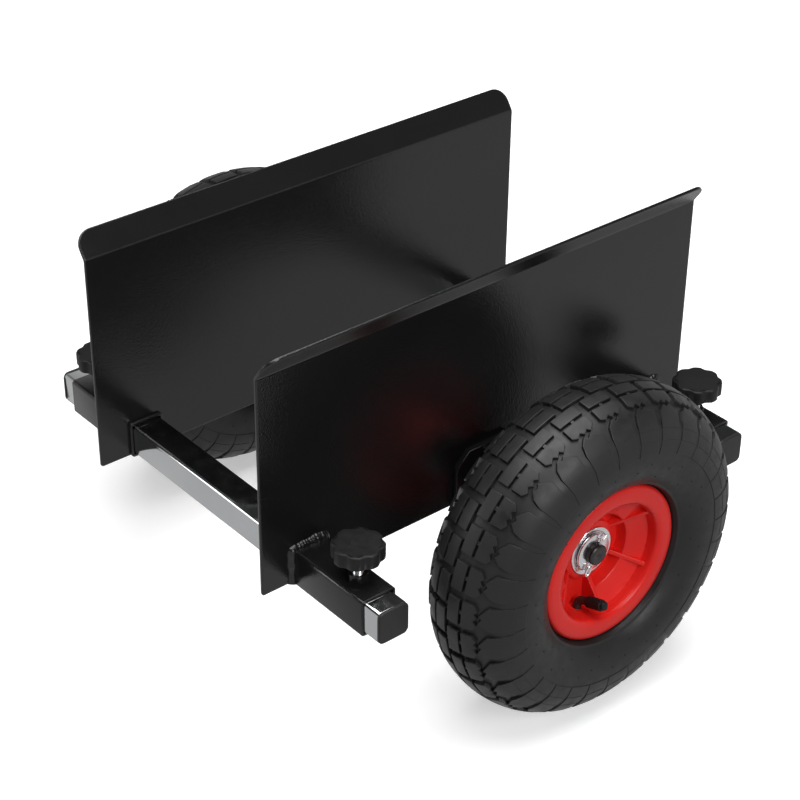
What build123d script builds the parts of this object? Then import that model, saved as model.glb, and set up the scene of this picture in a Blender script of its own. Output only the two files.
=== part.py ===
"""Adjustable two-wheel panel dolly for doors, boards and slabs.

Two bent steel panels face each other. Each is welded to a pair of square sleeves
that slide on two cross tubes, and four star knobs clamp them. A stub axle on the
outside of each panel carries one pneumatic wheel.

Millimetres. X runs across the dolly from wheel to wheel, Y along the panels, Z up.
The origin is on the floor midway between the wheels. The right-hand pieces, at
positive X, are modelled and the left-hand ones are their mirror images.
"""

from build123d import *
import math
import os

# ---- Driving dimensions ----------------------------------------------------

TYRE_R = 130.0  # 4.10/3.50-4 pneumatic tyre
TYRE_HALF_WIDTH = 42.0
TYRE_WIDEST_R = 89.0
CROWN_HALF_WIDTH = 37.5  # the tread's crown is part of an ellipse
CROWN_CENTRE_R = 104.0
SHOULDER_R = 115.2  # where the sidewall runs into the crown
BEAD_GAP = 0.3
CAVITY_CENTRE_R = 86.5
CAVITY_HALF_WIDTH = 35.0
CAVITY_HALF_HEIGHT = 33.0
WHEEL_X = 210.5  # centre plane of a wheel
AXLE_Z = TYRE_R

PANEL_GAP = 203.4  # clear width between the two panels
PANEL_LENGTH = 414.0
PANEL_BOTTOM_Z = 120.5
PANEL_HEIGHT = 178.7  # up to the bend
SHEET = 2.5
FLANGE_LENGTH = 21.8
FLANGE_ANGLE = 35.0  # from vertical, leaning outwards
BEND_R = 3.0
FLANGE_CORNER_R = 13.0
BOTTOM_CORNER_R = 2.0

TUBE = 25.4  # square cross tube
TUBE_WALL = 1.5
TUBE_CORNER_R = 3.0
TUBE_HALF_LENGTH = 196.5
TUBE_Y = 166.0
TUBE_Z = 134.3

SLEEVE = 30.0  # square sleeve sliding on the tube
SLEEVE_WALL = 2.0
SLEEVE_CORNER_R = 3.0
SLEEVE_PROUD = 2.5  # how far it stands through the panel's inner face
SLEEVE_END_X = 182.0

CAP = 26.0
CAP_HEAD = 2.5
CAP_CORNER_R = 4.5
CAP_PLUG_LENGTH = 16.0
CAP_PLUG_GAP = 0.1

KNOB_X = 160.0
KNOB_R = 19.0
KNOB_LOBES = 8
SCALLOP_R = 6.0
SCALLOP_DEPTH = 1.7
KNOB_BOSS_R = 7.0
KNOB_BOSS_Z = 161.0
KNOB_HEAD_Z = 169.5
KNOB_TOP_Z = 180.5
STUD_R = 4.0  # M8
STUD_TOP_Z = 176.0
STUD_TIP_GAP = 0.02
NUT_ACROSS_FLATS = 13.0
NUT_HEIGHT = 6.5
THREAD_GAP = 0.05
HOLE_GAP = 0.3

AXLE_R = 8.0
AXLE_END_X = 227.4
AXLE_CHAMFER = 1.0
GROOVE_X = 225.2
GROOVE_WIDTH = 0.8
GROOVE_DEPTH = 0.6
PLATE = 5.0
PLATE_LENGTH = 64.0
PLATE_HEIGHT = 46.0
BLOCK = 20.0
BLOCK_END_X = 150.0
GUSSET = 4.0
GUSSET_RISE = 26.0
GUSSET_RUN = 34.0

RIM_R = 62.0  # outer edge of the rim flange
RIM_FACE = 30.0  # flange face from the wheel's centre plane
BEAD_SEAT_R = 50.8  # 4 inch bead seat
BARREL_INNER_R = 46.5
FLANGE_ROOT = 21.5
FLANGE_EDGE = 25.5
FLOOR_OUTER = 19.0  # dish floor where it meets the barrel
FLOOR_INNER = 13.0  # dish floor at its step
STEP_R = 31.0
WEB = 3.0
HUB_R = 23.5
HUB_FACE = 7.5
HUB_SPLIT = -6.0
HUB_INNER_END = -56.7
INNER_HUB_R = 23.0
HUB_BORE_R = 14.0
RIBS = 6
FIRST_RIB_ANGLE = 31.0
RIB = 2.8
RIB_TOP_AT_HUB = 6.5
RIB_TOP_AT_BARREL = 24.5
SCREW_CIRCLE_R = 38.5
SCREW_R = 2.5
SCREW_HEAD_R = 4.5
SCREW_BOSS = 14.0  # height behind the dish floor
SCREW_BOSS_R = 5.2  # boss round each screw, wide enough to run into the step of the dish

BEARING_R = 17.5
BEARING_WIDTH = 12.0
BEARING_FLANGE_R = 19.2
BEARING_FLANGE = 1.5
PRESS_GAP = 0.05
RUNNING_GAP = 0.05
SPACER_R = 11.0
WASHER_R = 15.0
WASHER = 2.0
WASHER_GAP = 0.4
SPACER_GAP = 0.2

PIN_X = 224.0
PIN_R = 1.5
PIN_ANGLE = 61.0  # of the legs' end, from +Y towards +Z
PIN_EYE_R = 2.9
PIN_WIRE_R = 1.0

VALVE_ANGLE = -105.0
VALVE_U = 9.5  # where the stem passes the barrel
VALVE_STEM_R = 3.1
VALVE_ELBOW_R = 39.5
VALVE_BEND_R = 5.0
VALVE_LEG = 26.0
VALVE_LEAN = 17.0  # towards the hub
VALVE_CAP_R = 4.5
VALVE_CAP_LENGTH = 17.0
VALVE_THREAD_R = 2.6

WELD_LEG = 3.5

PANEL_INNER_X = PANEL_GAP / 2
PANEL_OUTER_X = PANEL_INNER_X + SHEET
TUBE_TOP_Z = TUBE_Z + TUBE / 2
SLEEVE_TOP_Z = TUBE_Z + SLEEVE / 2


# ---- Helpers ---------------------------------------------------------------


def square_bar(size, corner_r, x0, x1, y, z):
    """Square bar along X with rounded long edges."""
    outline = Plane.YZ.offset(x0) * RectangleRounded(size, size, corner_r)
    return extrude(outline, x1 - x0).translate((0, y, z))


def rod(radius, x0, x1, y=0.0, z=AXLE_Z):
    """Round bar along X."""
    return extrude(Plane.YZ.offset(x0) * Circle(radius), x1 - x0).translate((0, y, z))


def post(radius, x, y, z0, z1):
    """Round bar along Z."""
    return extrude(Plane.XY.offset(z0) * Circle(radius), z1 - z0).translate((x, y, 0))


def turned(points):
    """Solid of revolution about the axle, from (distance from centre plane, radius) points."""
    return turned_face(make_face(Polyline(*points, close=True)))


def turned_face(outline):
    """Revolve a flat outline about the axle. Its X is along the axle, its Y is the radius."""
    upright = Plane.XZ * outline
    body = revolve(upright, Axis.X, 360)
    return body.translate((WHEEL_X, 0, AXLE_Z))


def about_axle(shape, angle):
    """Turn a shape about the axle, from +Y towards +Z."""
    centred = shape.translate((0, 0, -AXLE_Z))
    return centred.rotate(Axis.X, angle).translate((0, 0, AXLE_Z))


# ---- Panels and sleeves ----------------------------------------------------


def panel():
    """Upright sheet with its top edge bent outwards, and square holes for the sleeves."""
    lean = math.radians(FLANGE_ANGLE)
    bend_z = PANEL_BOTTOM_Z + PANEL_HEIGHT
    tip_x = PANEL_INNER_X + FLANGE_LENGTH * math.sin(lean)
    tip_z = bend_z + FLANGE_LENGTH * math.cos(lean)
    outline = Polyline(
        (PANEL_INNER_X, PANEL_BOTTOM_Z),
        (PANEL_INNER_X, bend_z),
        (tip_x, tip_z),
        (tip_x + SHEET * math.cos(lean), tip_z - SHEET * math.sin(lean)),
        (PANEL_OUTER_X, bend_z - SHEET * math.tan(lean / 2)),
        (PANEL_OUTER_X, PANEL_BOTTOM_Z),
        close=True,
    )
    face = make_face(outline)
    at_bend = face.vertices().filter_by(lambda v: abs(v.Y - bend_z) < SHEET)
    load_side = at_bend.sort_by(Axis.X)[0]
    back_side = at_bend.sort_by(Axis.X)[-1]
    face = fillet(load_side, BEND_R + SHEET)
    back_side = face.vertices().sort_by_distance((back_side.X, back_side.Y, 0))[0]
    face = fillet(back_side, BEND_R)
    sheet = extrude(Plane.XZ.offset(-PANEL_LENGTH / 2) * face, PANEL_LENGTH)
    ends = sheet.edges().filter_by(lambda e: abs(e.length - SHEET) < 0.01)
    top = ends.filter_by(lambda e: e.center().Z > bend_z)
    sheet = fillet(top, FLANGE_CORNER_R)
    bottom = sheet.edges().filter_by(lambda e: abs(e.length - SHEET) < 0.01)
    bottom = bottom.filter_by(lambda e: e.center().Z < PANEL_BOTTOM_Z + 1)
    sheet = fillet(bottom, BOTTOM_CORNER_R)
    for y in (-TUBE_Y, TUBE_Y):
        sheet -= sleeve_outer(y)
    return sheet


def sleeve_outer(y):
    """The full square bar that a sleeve is made from."""
    start_x = PANEL_INNER_X - SLEEVE_PROUD
    return square_bar(SLEEVE, SLEEVE_CORNER_R, start_x, SLEEVE_END_X, y, TUBE_Z)


def sleeve(y):
    """Square tube open at both ends, with a hole in its top for the clamping stud."""
    bore = SLEEVE - 2 * SLEEVE_WALL
    bore_corner_r = SLEEVE_CORNER_R - SLEEVE_WALL
    body = sleeve_outer(y)
    body -= square_bar(bore, bore_corner_r, 0, SLEEVE_END_X + 1, y, TUBE_Z)
    body -= post(STUD_R + HOLE_GAP, KNOB_X, y, TUBE_Z, SLEEVE_TOP_Z + 1)
    return body


def weld_ring(y, z, size, corner_r, x):
    """Fillet weld round a square bar where it meets an upright face at x."""
    foot = Plane.YZ.offset(x) * RectangleRounded(
        size + 2 * WELD_LEG, size + 2 * WELD_LEG, corner_r + WELD_LEG
    )
    neck = Plane.YZ.offset(x + WELD_LEG) * RectangleRounded(size + 0.2, size + 0.2, corner_r)
    ring = loft([foot, neck]).translate((0, y, z))
    ring -= square_bar(size, corner_r, x - 1, x + WELD_LEG + 1, y, z)
    below = Box(50, 100, 50, align=(Align.CENTER, Align.CENTER, Align.MAX))
    return ring - below.translate((x, y, PANEL_BOTTOM_Z))


def weld_beads():
    """Welds of the two sleeves to the panel."""
    return [weld_ring(y, TUBE_Z, SLEEVE, SLEEVE_CORNER_R, PANEL_OUTER_X) for y in (-TUBE_Y, TUBE_Y)]


# ---- Cross tubes and their caps --------------------------------------------


def cross_tube(y):
    """Square tube that carries both halves."""
    bore = TUBE - 2 * TUBE_WALL
    body = square_bar(TUBE, TUBE_CORNER_R, -TUBE_HALF_LENGTH, TUBE_HALF_LENGTH, y, TUBE_Z)
    past = TUBE_HALF_LENGTH + 1
    return body - square_bar(bore, TUBE_CORNER_R - TUBE_WALL, -past, past, y, TUBE_Z)


def end_cap(y):
    """Push-in cap: a flat head and a hollow plug."""
    end_x = TUBE_HALF_LENGTH
    plug_size = TUBE - 2 * TUBE_WALL - 2 * CAP_PLUG_GAP
    start_x = end_x - CAP_PLUG_LENGTH
    head = square_bar(CAP, CAP_CORNER_R, end_x, end_x + CAP_HEAD, y, TUBE_Z)
    head = fillet(head.faces().sort_by(Axis.X)[-1].edges(), 0.8)
    plug = square_bar(plug_size, 2.0, start_x, end_x, y, TUBE_Z)
    plug -= square_bar(plug_size - 4, 1.0, start_x - 1, end_x - 1, y, TUBE_Z)
    return head + plug


# ---- Clamping knobs --------------------------------------------------------


def clamp_nut(y):
    """Hexagon nut welded on the sleeve's top."""
    across_corners = NUT_ACROSS_FLATS / math.cos(math.radians(30))
    outline = RegularPolygon(across_corners / 2, 6)
    body = extrude(Plane.XY.offset(SLEEVE_TOP_Z) * outline, NUT_HEIGHT).translate((KNOB_X, y, 0))
    return body - post(STUD_R + THREAD_GAP, KNOB_X, y, SLEEVE_TOP_Z - 1, SLEEVE_TOP_Z + NUT_HEIGHT + 1)


def stud(y):
    """M8 stud whose tip presses on the tube."""
    body = post(STUD_R, KNOB_X, y, TUBE_TOP_Z + STUD_TIP_GAP, STUD_TOP_Z)
    tip = body.edges().filter_by(GeomType.CIRCLE).sort_by(Axis.Z)[0]
    return chamfer(tip, 0.8)


def knob(y):
    """Scalloped star knob with a boss below."""
    outline = Circle(KNOB_R)
    for k in range(KNOB_LOBES):
        scallop_at = KNOB_R + SCALLOP_R - SCALLOP_DEPTH
        angle = math.radians((k + 0.5) * 360 / KNOB_LOBES)
        outline -= Pos(scallop_at * math.cos(angle), scallop_at * math.sin(angle)) * Circle(SCALLOP_R)
    head = extrude(Plane.XY.offset(KNOB_HEAD_Z) * outline, KNOB_TOP_Z - KNOB_HEAD_Z)
    head = fillet(head.faces().sort_by(Axis.Z)[-1].edges(), 1.2)
    head = head.translate((KNOB_X, y, 0))
    body = head + post(KNOB_BOSS_R, KNOB_X, y, KNOB_BOSS_Z, KNOB_HEAD_Z)
    return body - post(STUD_R + THREAD_GAP, KNOB_X, y, KNOB_BOSS_Z - 1, STUD_TOP_Z + 0.3)


# ---- Axle ------------------------------------------------------------------


def axle_plate():
    """Doubler plate welded on the panel's outer face."""
    body = Box(PLATE, PLATE_LENGTH, PLATE_HEIGHT, align=(Align.MIN, Align.CENTER, Align.MIN))
    body = body.translate((PANEL_OUTER_X, 0, PANEL_BOTTOM_Z))
    upper = body.edges().filter_by(Axis.X).sort_by(Axis.Z)[-2:]
    return chamfer(upper, 12)


def axle_block():
    """Square block, bored for the stub axle, standing out from the plate."""
    start_x = PANEL_OUTER_X + PLATE
    body = square_bar(BLOCK, 2.0, start_x, BLOCK_END_X, 0, AXLE_Z)
    return body - rod(AXLE_R + PRESS_GAP, start_x - 1, BLOCK_END_X + 1)


def axle_gussets():
    """Two triangular plates from the block up to the plate."""
    start_x = PANEL_OUTER_X + PLATE
    foot_z = AXLE_Z + BLOCK / 2
    corner = Polyline(
        (start_x, foot_z),
        (start_x + GUSSET_RUN, foot_z),
        (start_x + GUSSET_RUN, foot_z + 4),
        (start_x + 6, foot_z + GUSSET_RISE),
        (start_x, foot_z + GUSSET_RISE),
        close=True,
    )
    plate = extrude(Plane.XZ.offset(-GUSSET / 2) * make_face(corner), GUSSET)
    offset_y = BLOCK / 2 - GUSSET / 2 - 2.0
    return [plate.translate((0, y, 0)) for y in (-offset_y, offset_y)]


def stub_axle():
    """Round axle with a turned end, a groove and a cross hole for the cotter pin."""
    body = rod(AXLE_R, PANEL_OUTER_X + PLATE, AXLE_END_X)
    end = body.edges().filter_by(GeomType.CIRCLE).sort_by(Axis.X)[-1]
    body = chamfer(end, AXLE_CHAMFER)
    groove = rod(AXLE_R + 1, GROOVE_X, GROOVE_X + GROOVE_WIDTH)
    groove -= rod(AXLE_R - GROOVE_DEPTH, GROOVE_X - 1, GROOVE_X + GROOVE_WIDTH + 1)
    hole = post(PIN_R + 0.2, PIN_X, 0, AXLE_Z - 20, AXLE_Z + 20)
    return body - groove - about_axle(hole, PIN_ANGLE - 90)


def washer(x0):
    """Flat washer on the axle."""
    return rod(WASHER_R, x0, x0 + WASHER) - rod(AXLE_R + 0.3, x0 - 1, x0 + WASHER + 1)


def outer_washer():
    flange_face_x = WHEEL_X + HUB_FACE + BEARING_FLANGE
    return washer(flange_face_x + WASHER_GAP)


def inner_washer():
    return washer(BLOCK_END_X)


def cotter_pin():
    """Split pin: an eye below, a shank through the axle and two splayed legs above."""
    shank_end = AXLE_R + 1.5
    eye_at = shank_end + 2.4 * PIN_EYE_R
    shank = Cylinder(PIN_R, 2 * shank_end)
    eye = extrude(Plane.YZ.offset(-PIN_WIRE_R) * Ellipse(PIN_EYE_R, 1.9 * PIN_EYE_R), 2 * PIN_WIRE_R)
    inner = Ellipse(PIN_EYE_R - 1.8 * PIN_WIRE_R, 1.9 * PIN_EYE_R - 2 * PIN_WIRE_R)
    eye -= extrude(Plane.YZ.offset(-PIN_R) * inner, 2 * PIN_R)
    body = shank + eye.translate((0, 0, -eye_at + 1.5))
    for side in (-1, 1):
        leg = Cylinder(PIN_WIRE_R, 7.5, align=(Align.CENTER, Align.CENTER, Align.MIN))
        leg = leg.rotate(Axis.X, side * 32)
        body += leg.translate((0, 0, shank_end - 0.8))
    return about_axle(body.translate((PIN_X, 0, AXLE_Z)), PIN_ANGLE - 90)


# ---- Wheel -----------------------------------------------------------------


def tyre():
    """Tyre carcass: a crowned tread, and rounded sidewalls down to the two beads."""
    crown_height = TYRE_R - CROWN_CENTRE_R
    crown = Pos(0, CROWN_CENTRE_R) * Ellipse(CROWN_HALF_WIDTH, crown_height)
    rise = (SHOULDER_R - CROWN_CENTRE_R) / crown_height
    shoulder = (CROWN_HALF_WIDTH * math.sqrt(1 - rise**2), SHOULDER_R)
    widest = (TYRE_HALF_WIDTH, TYRE_WIDEST_R)
    bead_r = BEAD_SEAT_R + BEAD_GAP
    bead_u = FLANGE_EDGE - BEAD_GAP
    lip_r = RIM_R + BEAD_GAP
    lip = (RIM_FACE - 0.5, lip_r + 1.4)
    inside = Polyline(
        shoulder,
        (0, SHOULDER_R),
        (0, bead_r),
        (FLANGE_ROOT - BEAD_GAP, bead_r),
        (bead_u, bead_r + 5),
        (bead_u, lip_r),
        lip,
    )
    lower = TangentArc(widest, lip, tangent=(0, -1))
    upper = TangentArc(widest, shoulder, tangent=(0, 1))
    wall = make_face([inside, lower, upper])
    walls = wall + mirror(wall, about=Plane.YZ)
    cavity = Pos(0, CAVITY_CENTRE_R) * Ellipse(CAVITY_HALF_WIDTH, CAVITY_HALF_HEIGHT)
    mouth = Pos(0, 60) * Rectangle(34, 20)
    return turned_face(crown + walls - cavity - mouth)


def inner_tube():
    """Air tube filling the carcass."""
    centre = Pos(0, CAVITY_CENTRE_R - 0.5)
    outside = Ellipse(CAVITY_HALF_WIDTH - 1, CAVITY_HALF_HEIGHT - 1)
    inside = Ellipse(CAVITY_HALF_WIDTH - 3, CAVITY_HALF_HEIGHT - 3)
    body = turned_face(centre * (outside - inside))
    return body - valve_path(VALVE_STEM_R + 0.1, BEAD_SEAT_R - 1, 60.0)


def rim_flange(side):
    """Outline of one barrel half with its flange, side +1 outwards or -1 inwards."""
    return [
        (0, BARREL_INNER_R),
        (side * (RIM_FACE - 3), BARREL_INNER_R),
        (side * (RIM_FACE - 0.8), BARREL_INNER_R + 2),
        (side * RIM_FACE, BARREL_INNER_R + 5),
        (side * RIM_FACE, RIM_R - 2.5),
        (side * (RIM_FACE - 1), RIM_R - 0.7),
        (side * (RIM_FACE - 2.4), RIM_R),
        (side * FLANGE_EDGE, RIM_R),
        (side * FLANGE_EDGE, BEAD_SEAT_R + 5),
        (side * FLANGE_ROOT, BEAD_SEAT_R),
        (0, BEAD_SEAT_R),
    ]


def sector(points, from_angle, span):
    """Part of a solid of revolution about the axle, from its outline's points."""
    outline = make_face(Polyline(*points, close=True))
    body = revolve(Plane.XY * outline, Axis.X, span).rotate(Axis.X, from_angle)
    return body.translate((WHEEL_X, 0, AXLE_Z))


def rib(angle):
    """Radial rib from the hub boss to the barrel."""
    outline = Polyline(
        (0, HUB_R - 2),
        (RIB_TOP_AT_HUB, HUB_R - 2),
        (RIB_TOP_AT_BARREL, BARREL_INNER_R + 1),
        (0, BARREL_INNER_R + 1),
        close=True,
    )
    body = extrude(Plane.XY.offset(-RIB / 2) * make_face(outline), RIB)
    return about_axle(body.translate((WHEEL_X, 0, AXLE_Z)), angle)


def screw_angles():
    half_pitch = 180 / RIBS
    return [FIRST_RIB_ANGLE + half_pitch + k * 360 / RIBS for k in range(RIBS)]


def rim_outer():
    """Outer half of the moulded rim: flange, dish with ribs, and the hub's outer end."""
    rib_pitch = 360 / RIBS
    valve_sector = math.floor((VALVE_ANGLE - FIRST_RIB_ANGLE) / rib_pitch)
    first = FIRST_RIB_ANGLE + valve_sector * rib_pitch
    floor = [
        (WEB - 1, STEP_R),
        (FLOOR_INNER, STEP_R),
        (FLOOR_OUTER, BARREL_INNER_R + 0.5),
        (FLOOR_OUTER - WEB, BARREL_INNER_R + 0.5),
        (FLOOR_INNER - WEB, STEP_R + WEB),
        (WEB - 1, STEP_R + WEB),
    ]
    inner_web = [(0, HUB_R - 2), (WEB, HUB_R - 2), (WEB, STEP_R + WEB + 1), (0, STEP_R + WEB + 1)]
    valve_floor = [
        (0, STEP_R + WEB),
        (WEB, STEP_R + WEB),
        (WEB, BARREL_INNER_R + 0.5),
        (0, BARREL_INNER_R + 0.5),
    ]
    body = turned(rim_flange(1)) + turned(inner_web)
    body += sector(floor, first + rib_pitch, 360 - rib_pitch)
    body += sector(valve_floor, first, rib_pitch)
    for k in range(RIBS):
        body += rib(FIRST_RIB_ANGLE + k * rib_pitch)
    for angle in screw_angles():
        if not first < angle % 360 - 360 < first + rib_pitch:
            boss = rod(SCREW_BOSS_R, WHEEL_X, WHEEL_X + SCREW_BOSS, SCREW_CIRCLE_R)
            body += about_axle(boss, angle)
    hub = [
        (HUB_SPLIT, HUB_BORE_R),
        (HUB_FACE, HUB_BORE_R),
        (HUB_FACE, HUB_R),
        (HUB_SPLIT, HUB_R),
    ]
    body += turned(hub)
    pocket_x = WHEEL_X + HUB_FACE - BEARING_WIDTH
    body -= rod(BEARING_R + PRESS_GAP, pocket_x, WHEEL_X + HUB_FACE + 5)
    for angle in screw_angles():
        hole = rod(SCREW_R + PRESS_GAP, WHEEL_X - 1, WHEEL_X + WEB, SCREW_CIRCLE_R)
        body -= about_axle(hole, angle)
    return body - valve_path(VALVE_STEM_R + 0.3, VALVE_ELBOW_R, BEAD_SEAT_R + 3)


def rim_inner():
    """Inner half of the rim: flange, flat web and the long end of the offset hub."""
    body = turned(rim_flange(-1))
    socket_r = HUB_R + PRESS_GAP
    web = [
        (0, socket_r),
        (0, BARREL_INNER_R + 0.5),
        (-WEB, BARREL_INNER_R + 0.5),
        (-WEB, socket_r + WEB + 4),
        (HUB_SPLIT - 6, INNER_HUB_R),
        (HUB_INNER_END, INNER_HUB_R - 1.5),
        (HUB_INNER_END, HUB_BORE_R),
        (HUB_SPLIT, HUB_BORE_R),
        (HUB_SPLIT, socket_r),
    ]
    body += turned(web)
    for k in range(RIBS):
        gusset = Polyline(
            (-WEB + 0.5, BARREL_INNER_R + 0.5),
            (-WEB + 0.5, HUB_R + 4),
            (HUB_SPLIT - 5, INNER_HUB_R - 2),
            (HUB_SPLIT - 18, INNER_HUB_R - 2),
            (-15, BARREL_INNER_R + 0.5),
            close=True,
        )
        plate = extrude(Plane.XY.offset(-RIB / 2) * make_face(gusset), RIB)
        plate = plate.translate((WHEEL_X, 0, AXLE_Z))
        body += about_axle(plate, FIRST_RIB_ANGLE + k * 360 / RIBS)
    start_x = WHEEL_X + HUB_INNER_END
    body -= rod(BEARING_R + PRESS_GAP, start_x - 1, start_x + BEARING_WIDTH)
    for angle in screw_angles():
        hole = rod(SCREW_R + 0.2, WHEEL_X - 10, WHEEL_X + 1, SCREW_CIRCLE_R)
        body -= about_axle(hole, angle)
    return body


def rim_screws():
    """Pan-head screws that hold the two rim halves together, driven from the inner side."""
    screws = []
    for angle in screw_angles():
        shank = rod(SCREW_R, WHEEL_X - WEB, WHEEL_X + WEB - 0.2, SCREW_CIRCLE_R)
        head = rod(SCREW_HEAD_R, WHEEL_X - WEB - 2.8, WHEEL_X - WEB, SCREW_CIRCLE_R)
        screws.append(about_axle(shank + head, angle))
    return screws


def bearing(face_x, inwards):
    """Flanged ball bearing, shown closed. inwards is the way its body goes into the hub."""
    flange_end = face_x - inwards * BEARING_FLANGE
    body_end = face_x + inwards * BEARING_WIDTH
    body = rod(BEARING_R, min(face_x, body_end), max(face_x, body_end))
    body += rod(BEARING_FLANGE_R, min(face_x, flange_end), max(face_x, flange_end))
    return body - rod(AXLE_R + RUNNING_GAP, min(body_end, flange_end) - 1, max(body_end, flange_end) + 1)


def outer_bearing():
    return bearing(WHEEL_X + HUB_FACE, -1)


def inner_bearing():
    return bearing(WHEEL_X + HUB_INNER_END, 1)


def hub_spacer():
    """Tube on the axle between the two bearings."""
    start_x = WHEEL_X + HUB_INNER_END + BEARING_WIDTH + SPACER_GAP
    end_x = WHEEL_X + HUB_FACE - BEARING_WIDTH - SPACER_GAP
    return rod(SPACER_R, start_x, end_x) - rod(AXLE_R + HOLE_GAP, start_x - 1, end_x + 1)


def valve_path(radius, r0, r1):
    """Straight round bar along the valve's radial line, between two radii."""
    body = post(radius, WHEEL_X + VALVE_U, 0, AXLE_Z + r0, AXLE_Z + r1)
    return about_axle(body, VALVE_ANGLE - 90)


def valve_leg_line():
    """Where the valve's outward leg starts and which way it points, at angle +Z."""
    lean = math.radians(VALVE_LEAN)
    start = Vector(WHEEL_X + VALVE_U, 0, AXLE_Z + VALVE_ELBOW_R)
    return start, Vector(math.cos(lean), 0, -math.sin(lean))


def along_leg(radius, from_elbow, to):
    """Round bar along the valve's outward leg."""
    start, way = valve_leg_line()
    plane = Plane(origin=start + way * from_elbow, z_dir=way)
    return about_axle(extrude(plane * Circle(radius), to - from_elbow), VALVE_ANGLE - 90)


def valve_stem():
    """Bent stem: up through the barrel, round an elbow and out, with a thread for the cap."""
    start, way = valve_leg_line()
    foot = Vector(start.X, 0, AXLE_Z + 56.0)
    line = FilletPolyline(foot, start, start + way * (VALVE_LEG - VALVE_CAP_LENGTH), radius=VALVE_BEND_R)
    outline = Plane(origin=foot, z_dir=(0, 0, -1)) * Circle(VALVE_STEM_R)
    bent = about_axle(sweep(outline, path=line), VALVE_ANGLE - 90)
    return bent + along_leg(VALVE_THREAD_R, VALVE_LEG - VALVE_CAP_LENGTH, VALVE_LEG - 4)


def valve_cap():
    """Screw-on dust cap."""
    body = along_leg(VALVE_CAP_R, VALVE_LEG - VALVE_CAP_LENGTH, VALVE_LEG)
    return body - along_leg(VALVE_THREAD_R + 0.1, VALVE_LEG - VALVE_CAP_LENGTH - 1, VALVE_LEG - 3)


# ---- Writing the nodes -----------------------------------------------------


def as_group(shape):
    solids = shape if isinstance(shape, list) else [shape]
    return Compound(children=[s for part in solids for s in part.solids()])


def write(name, shape):
    export_step(as_group(shape), f"parts/{name}.step")


def write_pair(name, shape):
    """Write the right-hand piece and its mirror image."""
    group = as_group(shape)
    export_step(group, f"parts/right_{name}.step")
    export_step(as_group(mirror(group, about=Plane.YZ)), f"parts/left_{name}.step")


os.makedirs("parts", exist_ok=True)

for end, y in (("front", -TUBE_Y), ("rear", TUBE_Y)):
    write(f"{end}_cross_tube", cross_tube(y))
    write_pair(f"{end}_end_cap", end_cap(y))
    write_pair(f"{end}_sleeve", sleeve(y))
    write_pair(f"{end}_stud", stud(y))
    write_pair(f"{end}_knob", knob(y))

write_pair("panel", panel())
write_pair("weld_beads", weld_beads())
write_pair("clamp_nuts", [clamp_nut(y) for y in (-TUBE_Y, TUBE_Y)])
write_pair("axle_plate", axle_plate())
write_pair("axle_block", axle_block())
write_pair("axle_gussets", axle_gussets())
write_pair("stub_axle", stub_axle())
write_pair("outer_washer", outer_washer())
write_pair("inner_washer", inner_washer())
write_pair("cotter_pin", cotter_pin())

write_pair("tyre", tyre())
write_pair("inner_tube", inner_tube())
write_pair("rim_outer", rim_outer())
write_pair("rim_inner", rim_inner())
write_pair("rim_screws", rim_screws())
write_pair("outer_bearing", outer_bearing())
write_pair("inner_bearing", inner_bearing())
write_pair("hub_spacer", hub_spacer())
write_pair("valve_stem", valve_stem())
write_pair("valve_cap", valve_cap())
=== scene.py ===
import math

import bmesh
import bpy
from mathutils import Matrix, Vector


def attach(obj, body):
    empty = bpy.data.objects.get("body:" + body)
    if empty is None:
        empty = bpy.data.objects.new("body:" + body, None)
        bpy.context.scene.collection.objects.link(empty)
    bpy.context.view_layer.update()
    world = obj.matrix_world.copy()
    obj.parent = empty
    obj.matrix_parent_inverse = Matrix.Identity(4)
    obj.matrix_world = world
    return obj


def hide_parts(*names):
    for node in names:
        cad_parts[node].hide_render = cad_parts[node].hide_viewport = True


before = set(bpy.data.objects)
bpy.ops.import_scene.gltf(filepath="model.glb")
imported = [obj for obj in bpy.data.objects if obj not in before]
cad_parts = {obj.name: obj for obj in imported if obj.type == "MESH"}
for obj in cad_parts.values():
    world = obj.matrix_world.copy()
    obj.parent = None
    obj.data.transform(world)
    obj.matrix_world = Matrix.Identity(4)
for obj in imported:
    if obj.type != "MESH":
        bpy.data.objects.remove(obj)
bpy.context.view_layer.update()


# ---- Floor, light and camera ----
# A white sweep under a dim ceiling: gloss black steel shows the pale floor in its
# upright faces and the dark ceiling in its flat ones. Three soft boxes light it.

MIRRORED_FLOOR = 0.72
FILL_LIGHT = 0.36
CEILING_SHARE = 0.06
CEILING_FADE = (0.10, 0.50)
SOFT_BOXES = (
    # name, place, size, watts
    ("overhead", (0.10, -0.10, 1.90), 1.7, 44.0),
    ("front_left", (-1.30, -1.70, 1.10), 1.0, 11.0),
    ("right_side", (1.90, -0.20, 1.30), 0.9, 19.0),
)
LAMP_AIM = Vector((0.0, 0.0, 0.15))
FLOOR_HALF = 12.0
FLOOR_WHITE = (0.88, 0.88, 0.88, 1.0)
FLOOR_GLOW = (0.45, 1.0)
GLOW_FADE = (0.5, 1.4)
EYE = (1.048322, -0.875345, 1.019080)
EYE_AZIMUTH = 50.0112
EYE_ELEVATION = 32.4974
EYE_ROLL = 0.5869
EYE_LENS = 93.632


def feed(tree, node, inputs):
    """Gives each of the inputs a value, or links it to another node's output."""
    for socket, given in inputs.items():
        if isinstance(given, bpy.types.NodeSocket):
            tree.links.new(given, node.inputs[socket])
        else:
            node.inputs[socket].default_value = given


def add_node(tree, kind, inputs, **settings):
    """New node with its inputs fed and its settings made."""
    node = tree.nodes.new(kind)
    for setting, choice in settings.items():
        setattr(node, setting, choice)
    feed(tree, node, inputs)
    return node


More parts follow.
